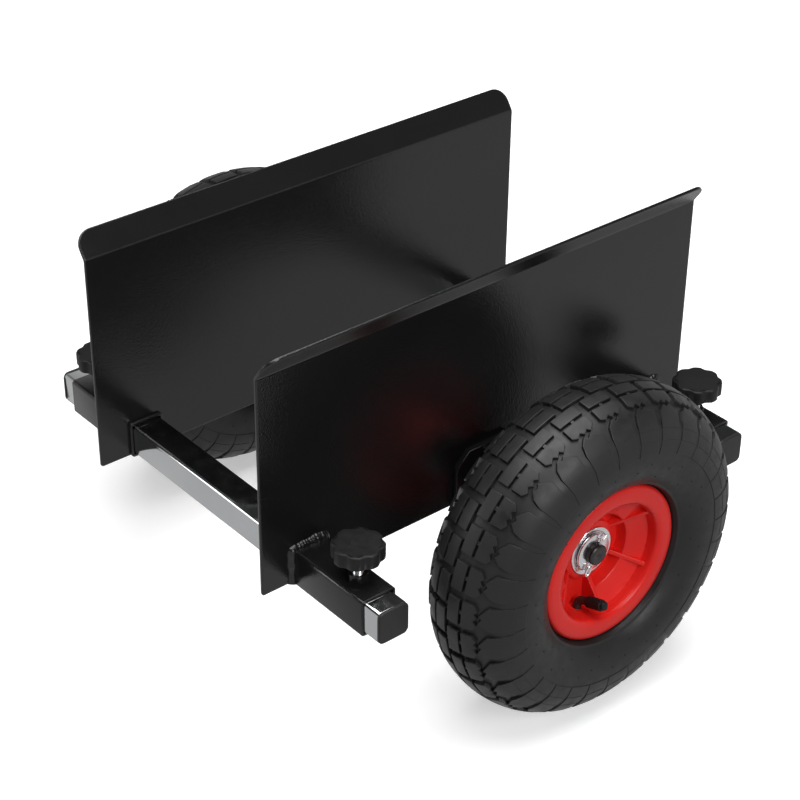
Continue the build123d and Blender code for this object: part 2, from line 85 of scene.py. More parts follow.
def add_range(tree, source, from_range, to_range, **settings):
    """Output of a Map Range node fed by a socket."""
    names = ("Value", "From Min", "From Max", "To Min", "To Max")
    inputs = dict(zip(names, (source, *from_range, *to_range)))
    return add_node(tree, "ShaderNodeMapRange", inputs, **settings).outputs["Result"]


def room_world():
    """White to the camera, and a pale floor that fades to a dim ceiling for other rays."""
    world = bpy.data.worlds.new("studio")
    world.use_nodes = True
    tree = world.node_tree
    tree.nodes.clear()
    way = add_node(tree, "ShaderNodeTexCoord", {}).outputs["Generated"]
    height = add_node(tree, "ShaderNodeSeparateXYZ", {"Vector": way}).outputs["Z"]
    fade = add_range(tree, height, CEILING_FADE, (1.0, CEILING_SHARE), interpolation_type="SMOOTHSTEP")
    seen = add_node(tree, "ShaderNodeLightPath", {}).outputs
    level = add_range(tree, seen["Is Glossy Ray"], (0.0, 1.0), (FILL_LIGHT, MIRRORED_FLOOR))
    strength = add_node(tree, "ShaderNodeMath", {0: fade, 1: level}, operation="MULTIPLY").outputs[0]
    walls = add_node(tree, "ShaderNodeBackground", {"Strength": strength}).outputs[0]
    backdrop = add_node(tree, "ShaderNodeBackground", {"Strength": 1.0}).outputs[0]
    both = add_node(tree, "ShaderNodeMixShader", {"Fac": seen["Is Camera Ray"], 1: walls, 2: backdrop})
    add_node(tree, "ShaderNodeOutputWorld", {"Surface": both.outputs[0]})
    return world


def floor_finish():
    """Matt white that glows more towards its far edge, so that the sweep has no horizon."""
    material = bpy.data.materials.new("floor_white")
    material.use_nodes = True
    tree = material.node_tree
    where = add_node(tree, "ShaderNodeTexCoord", {}).outputs["Object"]
    from_middle = add_node(tree, "ShaderNodeVectorMath", {0: where}, operation="LENGTH")
    distance = from_middle.outputs["Value"]
    glow = add_range(tree, distance, GLOW_FADE, FLOOR_GLOW, interpolation_type="SMOOTHSTEP")
    inputs = {
        "Base Color": FLOOR_WHITE,
        "Roughness": 0.9,
        "Specular IOR Level": 0.1,
        "Emission Color": (1.0, 1.0, 1.0, 1.0),
        "Emission Strength": glow,
    }
    feed(tree, tree.nodes["Principled BSDF"], inputs)
    return material


bpy.context.scene.world = room_world()
bpy.context.scene.view_settings.view_transform = "Standard"

for box_name, place, size, watts in SOFT_BOXES:
    lamp = bpy.data.lights.new(box_name, "AREA")
    lamp.shape = "SQUARE"
    lamp.size = size
    lamp.energy = watts
    lamp_object = bpy.data.objects.new(box_name, lamp)
    bpy.context.scene.collection.objects.link(lamp_object)
    lamp_object.location = place
    aim = LAMP_AIM - Vector(place)
    lamp_object.rotation_euler = aim.to_track_quat("-Z", "Y").to_euler()

floor_corners = [(sx * FLOOR_HALF, sy * FLOOR_HALF, 0.0) for sx, sy in ((-1, -1), (1, -1), (1, 1), (-1, 1))]
floor_mesh = bpy.data.meshes.new("floor")
floor_mesh.from_pydata(floor_corners, [], [(0, 1, 2, 3)])
floor_mesh.materials.append(floor_finish())
floor = bpy.data.objects.new("floor", floor_mesh)
floor.visible_glossy = False
floor.visible_diffuse = False
bpy.context.scene.collection.objects.link(floor)

azimuth, elevation, roll = (math.radians(v) for v in (EYE_AZIMUTH, EYE_ELEVATION, EYE_ROLL))
flat_way = Vector((math.sin(azimuth), -math.cos(azimuth), 0.0))
back = flat_way * math.cos(elevation) + Vector((0.0, 0.0, math.sin(elevation)))
sideways = Vector((math.cos(azimuth), math.sin(azimuth), 0.0))
upward = back.cross(sideways)
right_way = sideways * math.cos(roll) + upward * math.sin(roll)
up_way = upward * math.cos(roll) - sideways * math.sin(roll)
eye_data = bpy.data.cameras.new("eye")
eye_data.lens = EYE_LENS
eye_data.sensor_width = 36.0
eye_data.clip_start = 0.05
eye = bpy.data.objects.new("eye", eye_data)
eye.matrix_world = Matrix.Translation(EYE) @ Matrix((right_way, up_way, back)).transposed().to_4x4()
bpy.context.scene.collection.objects.link(eye)
bpy.context.scene.camera = eye


# ---- Side panels ----
# Two upright sheets of 2.5 mm steel, 414 mm long, with the top edge bent outwards
# so that a board drops in between them. Folded, drilled and powder coated gloss black.

PANEL_INNER_X = 101.7
PANEL_LENGTH = 414.0
PANEL_BOTTOM_Z = 120.5
PANEL_BEND_Z = 299.2
SHEET = 2.5
FLANGE = 21.8
FLANGE_LEAN = math.radians(35.0)
BEND_LOAD_R = 5.5
FLANGE_CORNER_R = 13.0
BOTTOM_CORNER_R = 2.0
SHEET_EDGE_R = 0.7
EDGE_SUPPORT = 0.9
BEND_STEPS = 8
JOIN_DISTANCE = 2e-6
SIDES = (("right", 1), ("left", -1))


def finish(name, dark, light, roughness, patch, grain=900.0, bump=0.00002, metal=0.0, gloss=0.5):
    """Material whose colour, roughness and bump vary over the piece. Sizes are per metre."""
    material = bpy.data.materials.new(name)
    material.use_nodes = True
    tree = material.node_tree
    where = add_node(tree, "ShaderNodeTexCoord", {}).outputs["Object"]
    noises = []
    for scale, detail in ((patch, 5.0), (grain, 3.0), (patch * 4.0, 6.0)):
        inputs = {"Vector": where, "Scale": scale, "Detail": detail}
        noises.append(add_node(tree, "ShaderNodeTexNoise", inputs).outputs["Fac"])
    patches, fine, smear = noises
    shades = {0: patches, 6: (*dark, 1.0), 7: (*light, 1.0)}
    colour = add_node(tree, "ShaderNodeMix", shades, data_type="RGBA")
    relief = add_node(tree, "ShaderNodeBump", {"Height": fine, "Distance": bump, "Strength": 1.0})
    inputs = {
        "Base Color": colour.outputs[2],
        "Metallic": metal,
        "Roughness": add_range(tree, smear, (0.3, 0.7), roughness),
        "Specular IOR Level": gloss,
        "Normal": relief.outputs["Normal"],
    }
    feed(tree, tree.nodes["Principled BSDF"], inputs)
    return material


def slab(outline, cuts, rings, place):
    """Solid on an even outline, counter-clockwise in (x, y). cuts are (axis, value) lines that
    divide its faces, rings are (offset outwards, height) from the top edge to the bottom edge,
    and place(x, y, height) gives the finished point."""
    flat = bmesh.new()
    flat.faces.new([flat.verts.new((x, y, 0.0)) for x, y in outline])
    for axis, value in cuts:
        way = Vector((axis == 0, axis == 1, 0))
        everything = flat.verts[:] + flat.edges[:] + flat.faces[:]
        bmesh.ops.bisect_plane(flat, geom=everything, dist=1e-5, plane_co=way * value, plane_no=way)
    flat.verts.index_update()
    spots = [(v.co.x, v.co.y) for v in flat.verts]
    cells = [[v.index for v in f.verts] for f in flat.faces]
    after = {}
    for edge in flat.edges:
        if edge.is_boundary:
            corner = edge.link_loops[0]
            after[corner.vert.index] = corner.link_loop_next.vert.index
    flat.free()
    start = next(iter(after))
    walk = [start]
    while after[walk[-1]] != start:
        walk.append(after[walk[-1]])
    outwards = {}
    for k, here in enumerate(walk):
        x0, y0 = spots[walk[k - 1]]
        x1, y1 = spots[here]
        x2, y2 = spots[walk[(k + 1) % len(walk)]]
        a = Vector((y1 - y0, x0 - x1)).normalized()
        b = Vector((y2 - y1, x1 - x2)).normalized()
        both = (a + b).normalized()
        outwards[here] = both / max(0.5, both.dot(a))
    points = []

    def add_layer(ring, members):
        """Places the points of one ring, and returns the number of its first point."""
        offset, height = ring
        first = len(points)
        for k in members:
            x, y = spots[k]
            push = outwards[k] * offset if k in outwards else (0.0, 0.0)
            points.append(place(x + push[0], y + push[1], height))
        return first

    top = add_layer(rings[0], range(len(spots)))
    bottom = add_layer(rings[-1], range(len(spots)))
    loops = [[top + k for k in walk]]
    for ring in rings[1:-1]:
        first = add_layer(ring, walk)
        loops.append(list(range(first, first + len(walk))))
    loops.append([bottom + k for k in walk])
    faces = [[top + k for k in cell] for cell in cells]
    faces += [[bottom + k for k in reversed(cell)] for cell in cells]
    return points, faces + joined(loops)


def joined(loops, close_ends=False):
    """Quads between rings of points that go round the same way."""
    faces = []
    pairs = list(zip(loops, loops[1:]))
    if close_ends:
        pairs.append((loops[-1], loops[0]))
    for one, two in pairs:
        for k in range(len(one)):
            n = (k + 1) % len(one)
            faces.append((one[k], two[k], two[n], one[n]))
    return faces


def skinned(rings, ends="open"):
    """Points and faces of a skin over rings of points. Its ends are open, capped or joined."""
    count = len(rings[0])
    loops = [list(range(k * count, (k + 1) * count)) for k in range(len(rings))]
    faces = joined(loops, close_ends=ends == "joined")
    if ends == "capped":
        faces += [loops[0][::-1], loops[-1]]
    return [point for ring in rings for point in ring], faces


def solid_mesh(name, parts, material, smooth_below=32.0):
    """Mesh in metres from (points, faces) parts in millimetres, closed and facing outwards."""
    points, faces = [], []
    for part_points, part_faces in parts:
        first = len(points)
        points += [(x * 0.001, y * 0.001, z * 0.001) for x, y, z in part_points]
        faces += [[first + k for k in f] for f in part_faces]
    mesh = bpy.data.meshes.new(name)
    mesh.from_pydata(points, [], faces)
    tidy_mesh(mesh, smooth_below)
    mesh.materials.append(material)
    return mesh


def tidy_mesh(mesh, smooth_below):
    shape = bmesh.new()
    shape.from_mesh(mesh)
    bmesh.ops.remove_doubles(shape, verts=shape.verts[:], dist=JOIN_DISTANCE)
    bmesh.ops.dissolve_degenerate(shape, edges=shape.edges[:], dist=1e-7)
    bmesh.ops.recalc_face_normals(shape, faces=shape.faces[:])
    shape.to_mesh(mesh)
    shape.free()
    mesh.shade_smooth()
    mesh.set_sharp_from_angle(angle=math.radians(smooth_below))


def fit(name, mesh, body, slot, *nodes):
    """Puts a finished mesh on its body, in the place of the CAD nodes named."""
    piece = bpy.data.objects.new(name, mesh)
    bpy.context.scene.collection.objects.link(piece)
    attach(piece, body)
    if nodes:
        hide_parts(*nodes)


def reflected(mesh, name):
    """The left-hand copy of a right-hand mesh."""
    copy = mesh.copy()
    copy.name = name
    copy.transform(Matrix.Scale(-1.0, 4, (1.0, 0.0, 0.0)))
    copy.flip_normals()
    return copy


def fit_pair(name, mesh, body, slot, *nodes):
    """Right-hand piece and its mirror image. Body and nodes are named without their side."""
    for side, sign in SIDES:
        own = mesh if sign > 0 else reflected(mesh, f"left_{name}")
        fit(f"{side}_{name}", own, f"{side}_{body}", slot, *[f"{side}_{n}" for n in nodes])


def make_pair(name, parts, material, body, slot, *nodes, smooth_below=32.0):
    """Piece made from its parts and fitted to both halves."""
    fit_pair(name, solid_mesh(name, parts, material, smooth_below), body, slot, *nodes)


def arc(cx, cy, radius, start, end, steps):
    """Points of an arc, angles in degrees."""
    turns = [math.radians(start + (end - start) * k / steps) for k in range(steps + 1)]
    return [(cx + radius * math.cos(t), cy + radius * math.sin(t)) for t in turns]


def on_panel(y, rise, depth):
    """Point of the folded sheet: rise is measured up the load side, depth goes through it."""
    bend_z = PANEL_BEND_Z - BEND_LOAD_R * math.tan(FLANGE_LEAN / 2)
    straight = bend_z - PANEL_BOTTOM_Z
    if rise <= straight:
        return PANEL_INNER_X + depth, y, PANEL_BOTTOM_Z + rise
    turn = min((rise - straight) / BEND_LOAD_R, FLANGE_LEAN)
    beyond = rise - straight - turn * BEND_LOAD_R
    x = PANEL_INNER_X + BEND_LOAD_R * (1 - math.cos(turn)) + beyond * math.sin(turn)
    z = bend_z + BEND_LOAD_R * math.sin(turn) + beyond * math.cos(turn)
    return x + depth * math.cos(turn), y, z - depth * math.sin(turn)


bend_from = PANEL_BEND_Z - PANEL_BOTTOM_Z - BEND_LOAD_R * math.tan(FLANGE_LEAN / 2)
bend_to = bend_from + BEND_LOAD_R * FLANGE_LEAN
panel_rise = bend_to + FLANGE - BEND_LOAD_R * math.tan(FLANGE_LEAN / 2)
half_length = PANEL_LENGTH / 2
panel_outline = (
    arc(half_length - BOTTOM_CORNER_R, BOTTOM_CORNER_R, BOTTOM_CORNER_R, -90, 0, 5)
    + arc(half_length - FLANGE_CORNER_R, panel_rise - FLANGE_CORNER_R, FLANGE_CORNER_R, 0, 90, 14)
    + arc(FLANGE_CORNER_R - half_length, panel_rise - FLANGE_CORNER_R, FLANGE_CORNER_R, 90, 180, 14)
    + arc(BOTTOM_CORNER_R - half_length, BOTTOM_CORNER_R, BOTTOM_CORNER_R, 180, 270, 5)
)
panel_cuts = [(1, bend_from + (bend_to - bend_from) * k / BEND_STEPS) for k in range(BEND_STEPS + 1)]
sheet_edge = [(-SHEET_EDGE_R - EDGE_SUPPORT, 0.0)]
sheet_edge += arc(-SHEET_EDGE_R, SHEET_EDGE_R, SHEET_EDGE_R, -90, 0, 4)
sheet_rings = sheet_edge + [(offset, SHEET - depth) for offset, depth in reversed(sheet_edge)]
gloss_black = finish(
    "gloss_black_powder_coat", (0.0085, 0.0085, 0.0087), (0.0120, 0.0120, 0.0123), (0.11, 0.17),
    patch=9.0, grain=800.0, bump=0.00016,
)
panel_part = slab(panel_outline, panel_cuts, sheet_rings, on_panel)
make_pair("panel_sheet", [panel_part], gloss_black, "half", "black_powder_coat", "panel")


# ---- Sleeves ----
# Square steel tube, 30 mm across with a 2 mm wall, welded through a hole in the
# panel. It slides on the cross tube and is powder coated with the panel.

TUBE_Y = 166.0
TUBE_Z = 134.3
SLEEVE = 30.0
SLEEVE_WALL = 2.0
SLEEVE_CORNER_R = 3.0
SLEEVE_FROM_X = 99.2
SLEEVE_TO_X = 182.0
CORNER_STEPS = 6
CUT_EASE = 0.35
ENDS = (("front", -1), ("rear", 1))


def rounded_square(size, corner_r):
    """Outline of a square bar, counter-clockwise, centred."""
    a = size / 2 - corner_r
    outline = []
    for k, (cx, cy) in enumerate(((a, a), (-a, a), (-a, -a), (a, -a))):
        outline += arc(cx, cy, corner_r, 90 * k, 90 * k + 90, CORNER_STEPS)
    return outline


def square_rings(stations, y, z, ends):
    """Skin over rounded squares. stations are (x, size across, corner radius)."""
    rings = []
    for x, size, corner_r in stations:
        rings.append([(x, y + a, z + b) for a, b in rounded_square(size, corner_r)])
    return skinned(rings, ends)


def square_tube(size, wall, corner_r, x0, x1, y, z):
    """Square tube open at both ends, with its cut edges eased."""
    bore = size - 2 * wall
    bore_r = max(0.4, corner_r - wall)
    inset = 0.3 * CUT_EASE
    cut_end = [
        (CUT_EASE, size, corner_r),
        (inset, size - 2 * inset, corner_r - inset),
        (0.0, size - 2 * CUT_EASE, corner_r - CUT_EASE),
        (0.0, bore, bore_r),
    ]
    stations = [(x0 + x, across, r) for x, across, r in cut_end]
    stations += [(x1 - x, across, r) for x, across, r in reversed(cut_end)]
    return square_rings(stations, y, z, "joined")


for end, toward in ENDS:
    tube = square_tube(
        SLEEVE, SLEEVE_WALL, SLEEVE_CORNER_R, SLEEVE_FROM_X, SLEEVE_TO_X, toward * TUBE_Y, TUBE_Z
    )
    make_pair(f"{end}_slide_sleeve", [tube], gloss_black, "half", "black_powder_coat", f"{end}_sleeve")


# ---- Welds ----
# Hand-laid fillet welds join each sleeve to the panel's outer face. They are made
# before coating, so the ripples show through the black.

WELD_LEG = 4.0
RIPPLE_PITCH = 2.6
WELD_STEP = 0.45
WELD_ROOT = 0.6
WELD_CLEAR = 0.05


def rounded_corner_path(corners, radius, step):
    """Even points along a closed path with rounded corners."""
    dense = []
    count = len(corners)
    for k in range(count):
        here = Vector(corners[k])
        before = (Vector(corners[k - 1]) - here).normalized()
        after_way = (Vector(corners[(k + 1) % count]) - here).normalized()
        for j in range(7):
            t = j / 6
            edge_in = here + before * radius * (1 - t) ** 2
            dense.append(edge_in + after_way * radius * t**2)
    path = []
    for k in range(len(dense)):
        a, b = dense[k], dense[(k + 1) % len(dense)]
        parts = max(1, round((b - a).length / step))
        path += [a.lerp(b, j / parts) for j in range(parts)]
    return path


def weld_bead(corners, radius, face_x, seed, lowest_z):
    """Rippled fillet bead on the upright face at face_x, round a closed path of (y, z) corners."""
    path = rounded_corner_path(corners, radius, WELD_STEP)
    middle = sum(path, Vector((0.0, 0.0))) / len(path)
    rings = []
    run = 0.0
    for k, here in enumerate(path):
        ahead = path[(k + 1) % len(path)]
        along = (ahead - path[k - 1]).normalized()
        out = Vector((along.y, -along.x))
        if out.dot(here - middle) < 0:
            out = -out
        ripple = math.sin(2 * math.pi * run / RIPPLE_PITCH + math.sin(run * 0.4 + seed))
        wander = math.sin(run * 0.21 + seed) * 0.13 + math.sin(run * 0.57 + 2 * seed) * 0.09
        size = WELD_LEG * (0.90 + wander + 0.045 * ripple)
        run += (ahead - here).length
        bead = [(-WELD_ROOT, -WELD_ROOT), (-WELD_ROOT, size), (0.0, size), (0.26 * size, 0.88 * size)]
        bead += [(0.62 * size, 0.58 * size), (0.88 * size, 0.24 * size), (0.98 * size, 0.0)]
        bead.append((0.9 * size, -WELD_ROOT))
        ring = []
        for lift, spread in bead:
            y, z = here + out * spread
            ring.append((face_x + lift, y, max(z, lowest_z)))
        rings.append(ring)
    return skinned(rings, "joined")


weld_parts = []
half_sleeve = SLEEVE / 2
face_x = PANEL_INNER_X + SHEET
for number, (_, toward) in enumerate(ENDS):
    corners = [
        (toward * TUBE_Y + a * half_sleeve, TUBE_Z + b * half_sleeve)
        for a, b in ((-1, -1), (1, -1), (1, 1), (-1, 1))
    ]
    weld_parts.append(
        weld_bead(corners, SLEEVE_CORNER_R, face_x, 1.7 * number, PANEL_BOTTOM_Z + WELD_CLEAR)
    )
make_pair(
    "sleeve_welds", weld_parts,
    gloss_black, "half", "black_powder_coat", "weld_beads", smooth_below=50.0,
)


# ---- Clamp nuts, studs and star knobs ----
# A nut is welded on each sleeve. A zinc plated M8 stud, moulded into a black nylon
# star knob, screws down through it and presses on the cross tube.

KNOB_X = 160.0
KNOB_R = 19.0
KNOB_LOBES = 8
SCALLOP_R = 6.0
SCALLOP_DEPTH = 1.7
KNOB_BOSS_R = 7.0
KNOB_BOSS_Z = 161.0
KNOB_HEAD_Z = 169.5
KNOB_TOP_Z = 180.5
KNOB_DISH_R = 13.5
KNOB_DISH = 0.35
KNOB_CUT = 3.5
STUD_R = 4.0
STUD_FROM_Z = 147.02
STUD_TO_Z = 176.0
THREAD_PITCH = 1.25
THREAD_DEPTH = 0.6
NUT_FLATS = 13.0
NUT_Z = 149.3
NUT_HEIGHT = 6.5
BORE_GAP = 0.05

bright_zinc = finish(
    "bright_zinc_plate", (0.70, 0.71, 0.73), (0.92, 0.93, 0.94), (0.14, 0.30),
    patch=60.0, grain=1500.0, bump=0.000012, metal=1.0,
)
black_nylon = finish(
    "black_nylon", (0.006, 0.006, 0.006), (0.012, 0.012, 0.012), (0.42, 0.55),
    patch=40.0, grain=1900.0, bump=0.00004, gloss=0.28,
)


def full_circle(segments):
    """Even angles round a circle, in radians."""
    return [2 * math.pi * k / segments for k in range(segments)]


def turned_post(profile, x, y, segments):
    """Solid of revolution about an upright line. The profile is (radius, z) points."""
    turns = full_circle(segments)
    return skinned([[(x + r * math.cos(t), y + r * math.sin(t), z) for t in turns] for r, z in profile])


def threaded_stud(x, y):
    """M8 stud with a real helical thread and a pointed tip."""
    segments = 28
    steps_per_pitch = 7
    rows = round((STUD_TO_Z - STUD_FROM_Z) / THREAD_PITCH * steps_per_pitch)
    rings = []
    for row in range(rows + 1):
        z = STUD_FROM_Z + (STUD_TO_Z - STUD_FROM_Z) * row / rows
        tip = max(0.0, 0.9 - (z - STUD_FROM_Z))
        ring = []
        for k in range(segments):
            turn = k / segments
            phase = (z / THREAD_PITCH - turn) % 1.0
            groove = THREAD_DEPTH * (1 - abs(2 * phase - 1)) ** 1.2
            radius = STUD_R - groove - tip
            angle = 2 * math.pi * turn
            ring.append((x + radius * math.cos(angle), y + radius * math.sin(angle), z))
        rings.append(ring)
    points, faces = skinned(rings)
    last = len(points) - segments
    for k in range(segments):
        n = (k + 1) % segments
        faces.append((len(points), k, n))
        faces.append((len(points) + 1, last + n, last + k))
    return points + [(x, y, STUD_FROM_Z), (x, y, STUD_TO_Z)], faces


def hexagon_reach(t, flats):
    """Distance from the centre of a hexagon to its side, at an angle in radians."""
    return flats / 2 / math.cos((t + math.pi / 6) % (math.pi / 3) - math.pi / 6)


def clamp_nut(x, y):
    """Hexagon nut with its corners chamfered."""
    corner = NUT_FLATS / 2 / math.cos(math.radians(30))
    bore = STUD_R + BORE_GAP
    rows = [
        # rise, largest radius, whether round or cut to the hexagon
        (BORE_GAP, bore, True),
        (0.0, bore + 0.8, True),
        (0.0, corner, False),
        (0.35, math.inf, False),
        (NUT_HEIGHT - 0.9, math.inf, False),
        (NUT_HEIGHT, corner - 0.75, False),
        (NUT_HEIGHT, bore + 0.9, True),
        (NUT_HEIGHT - 0.8, bore, True),
    ]
    rings = []
    for rise, limit, is_round in rows:
        ring = []
        for t in full_circle(72):
            r = limit if is_round else min(hexagon_reach(t, NUT_FLATS), limit)
            ring.append((x + r * math.cos(t), y + r * math.sin(t), NUT_Z + rise))
        rings.append(ring)
    return skinned(rings, "joined")


def star_outline():
    """Round outline with shallow scallops between wide lobes."""
    steps = 160
    centre_r = KNOB_R + SCALLOP_R - SCALLOP_DEPTH
    pitch = 2 * math.pi / KNOB_LOBES
    turns = full_circle(steps)
    raw = []
    for t in turns:
        off = (t % pitch) - pitch / 2
        aside = centre_r * math.sin(off)
        radius = KNOB_R
        if abs(aside) < SCALLOP_R:
            radius = min(KNOB_R, centre_r * math.cos(off) - math.sqrt(SCALLOP_R**2 - aside**2))
        raw.append(radius)
    eased = [sum(raw[(k + j) % steps] for j in range(-2, 3)) / 5 for k in range(steps)]
    return [(r * math.cos(t), r * math.sin(t)) for t, r in zip(turns, eased)]


def star_knob(x, y):
    """Knob head with eased edges and a faint dish in its top, on a round boss."""

    def place(a, b, height):
        dish = KNOB_DISH * max(0.0, 1 - math.hypot(a, b) / KNOB_DISH_R) ** 0.5 if height > 10 else 0.0
        return x + a, y + b, KNOB_HEAD_Z + height - dish

    head_height = KNOB_TOP_Z - KNOB_HEAD_Z
    shoulder = arc(-1.5, head_height - 1.5, 1.5, 90, 0, 5)
    rings = [(-2.3, head_height)] + shoulder + [(0.0, 0.8), (-0.25, 0.25), (-0.8, 0.0)]
    cuts = [(axis, KNOB_CUT * k) for axis in (0, 1) for k in range(-4, 5)]
    head = slab(star_outline(), cuts, rings, place)
    boss_profile = [
        (STUD_R + BORE_GAP, KNOB_BOSS_Z + 0.2),
        (KNOB_BOSS_R - 0.6, KNOB_BOSS_Z),
        (KNOB_BOSS_R - 0.1, KNOB_BOSS_Z + 0.5),
        (KNOB_BOSS_R, KNOB_HEAD_Z - 1.2),
        (KNOB_BOSS_R + 1.2, KNOB_HEAD_Z + 0.2),
        (STUD_R + BORE_GAP, KNOB_HEAD_Z + 0.2),
        (STUD_R + BORE_GAP, KNOB_BOSS_Z + 0.2),
    ]
    return [head, turned_post(boss_profile, x, y, 48)]


nut_parts = [clamp_nut(KNOB_X, toward * TUBE_Y) for _, toward in ENDS]
make_pair("hex_nuts", nut_parts, gloss_black, "half", "black_powder_coat", "clamp_nuts")
for end, toward in ENDS:
    stud_part = threaded_stud(KNOB_X, toward * TUBE_Y)
    make_pair(
        f"{end}_clamp_stud", [stud_part],
        bright_zinc, f"{end}_stud_body", "zinc", f"{end}_stud", smooth_below=60,
    )
    make_pair(
        f"{end}_star_knob", star_knob(KNOB_X, toward * TUBE_Y),
        black_nylon, f"{end}_knob_body", "black_plastic", f"{end}_knob",
    )


# ---- Cross tubes and end caps ----
# Two 25.4 mm square steel tubes, chrome plated, carry both halves. Black polythene
# caps are pushed into their open ends.

TUBE = 25.4
TUBE_WALL = 1.5
TUBE_CORNER_R = 3.0
TUBE_HALF_LENGTH = 196.5
CAP = 26.0
CAP_HEAD = 2.5
CAP_CORNER_R = 4.5
CAP_PLUG = TUBE - 2 * TUBE_WALL - 0.2
CAP_PLUG_LENGTH = 16.0

chrome_plate = finish(
    "chrome_plate", (0.52, 0.53, 0.54), (0.65, 0.66, 0.67), (0.05, 0.16),
    patch=26.0, grain=700.0, bump=0.000006, metal=1.0,
)
black_polythene = finish(
    "black_polythene", (0.014, 0.014, 0.014), (0.024, 0.024, 0.024), (0.34, 0.46),
    patch=60.0, grain=1300.0, bump=0.00003, gloss=0.35,
)
for end, toward in ENDS:
    tube = square_tube(
        TUBE, TUBE_WALL, TUBE_CORNER_R, -TUBE_HALF_LENGTH, TUBE_HALF_LENGTH, toward * TUBE_Y, TUBE_Z
    )
    tube_mesh = solid_mesh(f"{end}_chrome_tube", [tube], chrome_plate)
    fit(f"{end}_chrome_tube", tube_mesh, "cross_tubes", "chrome", f"{end}_cross_tube")
    face_x = TUBE_HALF_LENGTH + CAP_HEAD
    cap_stations = [
        (TUBE_HALF_LENGTH - CAP_PLUG_LENGTH, CAP_PLUG - 1.0, 1.8),
        (TUBE_HALF_LENGTH - CAP_PLUG_LENGTH + 1.0, CAP_PLUG, 2.0),
        (TUBE_HALF_LENGTH, CAP_PLUG, 2.0),
        (TUBE_HALF_LENGTH, CAP - 0.3, CAP_CORNER_R),
        (TUBE_HALF_LENGTH + 0.3, CAP, CAP_CORNER_R),
        (face_x - 0.9, CAP, CAP_CORNER_R),
        (face_x - 0.55, CAP - 0.25, CAP_CORNER_R),
        (face_x - 0.2, CAP - 0.9, CAP_CORNER_R - 0.3),
        (face_x - 0.05, CAP - 1.8, CAP_CORNER_R - 0.7),
        (face_x, CAP - 3.2, CAP_CORNER_R - 1.2),
    ]
    cap_part = square_rings(cap_stations, toward * TUBE_Y, TUBE_Z, "capped")
    cap_mesh = solid_mesh(f"{end}_tube_cap", [cap_part], black_polythene)
    for side, sign in SIDES:
        own = cap_mesh if sign > 0 else reflected(cap_mesh, f"left_{end}_tube_cap")
        fit(f"{side}_{end}_tube_cap", own, "cross_tubes", "black_plastic", f"{side}_{end}_end_cap")


# ---- Axle plate, block and gussets ----
# A 5 mm doubler plate, a bored square block and two gussets, welded together and
# to the panel. They carry the stub axle, and are coated with the panel.

AXLE_Z = 130.0
PLATE = 5.0
PLATE_LENGTH = 64.0
PLATE_HEIGHT = 46.0
PLATE_CHAMFER = 12.0
BLOCK = 20.0
BLOCK_FROM_X = PANEL_INNER_X + SHEET + PLATE
BLOCK_TO_X = 150.0
AXLE_R = 8.0
GUSSET = 4.0
GUSSET_RISE = 26.0
GUSSET_RUN = 34.0
GUSSET_Y = (BLOCK - GUSSET) / 2 - 2.0
EASED = 0.4


def eased_rings(low, high, ease):
    """Rings for a plate between two heights, with small rounded edges."""
    edge = [(-ease - 0.7, 0.0)] + arc(-ease, ease, ease, -90, 0, 3)
    upper = [(offset, high - depth) for offset, depth in edge]
    lower = [(offset, low + depth) for offset, depth in reversed(edge)]
    return upper + lower


def facing_out(a, b, height):
    """Place for a plate lying on an upright face: its height runs along X."""
    return height, a, b


plate_top_z = PANEL_BOTTOM_Z + PLATE_HEIGHT
plate_outline = [
    (-PLATE_LENGTH / 2, PANEL_BOTTOM_Z),
    (PLATE_LENGTH / 2, PANEL_BOTTOM_Z),
    (PLATE_LENGTH / 2, plate_top_z - PLATE_CHAMFER),
    (PLATE_LENGTH / 2 - PLATE_CHAMFER, plate_top_z),
    (PLATE_CHAMFER - PLATE_LENGTH / 2, plate_top_z),
    (-PLATE_LENGTH / 2, plate_top_z - PLATE_CHAMFER),
]
plate_from = PANEL_INNER_X + SHEET
plate_rings = eased_rings(plate_from, BLOCK_FROM_X, EASED)
make_pair(
    "doubler_plate", [slab(plate_outline, [], plate_rings, facing_out)],
    gloss_black, "half", "black_powder_coat", "axle_plate",
)

block_stations = [
    (BLOCK_FROM_X, BLOCK, 2.0),
    (BLOCK_TO_X - EASED, BLOCK, 2.0),
    (BLOCK_TO_X - 0.1, BLOCK - 0.25, 1.9),
    (BLOCK_TO_X, BLOCK - 2 * EASED, 1.7),
    (BLOCK_TO_X, 2 * AXLE_R + 2 * BORE_GAP, AXLE_R + BORE_GAP),
    (BLOCK_FROM_X, 2 * AXLE_R + 2 * BORE_GAP, AXLE_R + BORE_GAP),
]
make_pair(
    "axle_boss", [square_rings(block_stations, 0.0, AXLE_Z, "joined")],
    gloss_black, "half", "black_powder_coat", "axle_block",
)



def gusset(y):
    """Triangular plate on the block, across y."""
    block_top_z = AXLE_Z + BLOCK / 2
    outline = [
        (BLOCK_FROM_X, block_top_z),
        (BLOCK_FROM_X + GUSSET_RUN, block_top_z),
        (BLOCK_FROM_X + GUSSET_RUN, block_top_z + 4.0),
        (BLOCK_FROM_X + 6.0, block_top_z + GUSSET_RISE),
        (BLOCK_FROM_X, block_top_z + GUSSET_RISE),
    ]
    rings = eased_rings(-GUSSET / 2, GUSSET / 2, 0.3)
    return slab(outline, [], rings, lambda a, b, height: (a, y - height, b))


make_pair(
    "gussets", [gusset(-GUSSET_Y), gusset(GUSSET_Y)],
    gloss_black, "half", "black_powder_coat", "axle_gussets",
)


# ---- Stub axle, washers and cotter pin ----
# A turned 16 mm steel axle, painted black, keeps the wheel on with a zinc washer
# and a split pin bent open through its end.

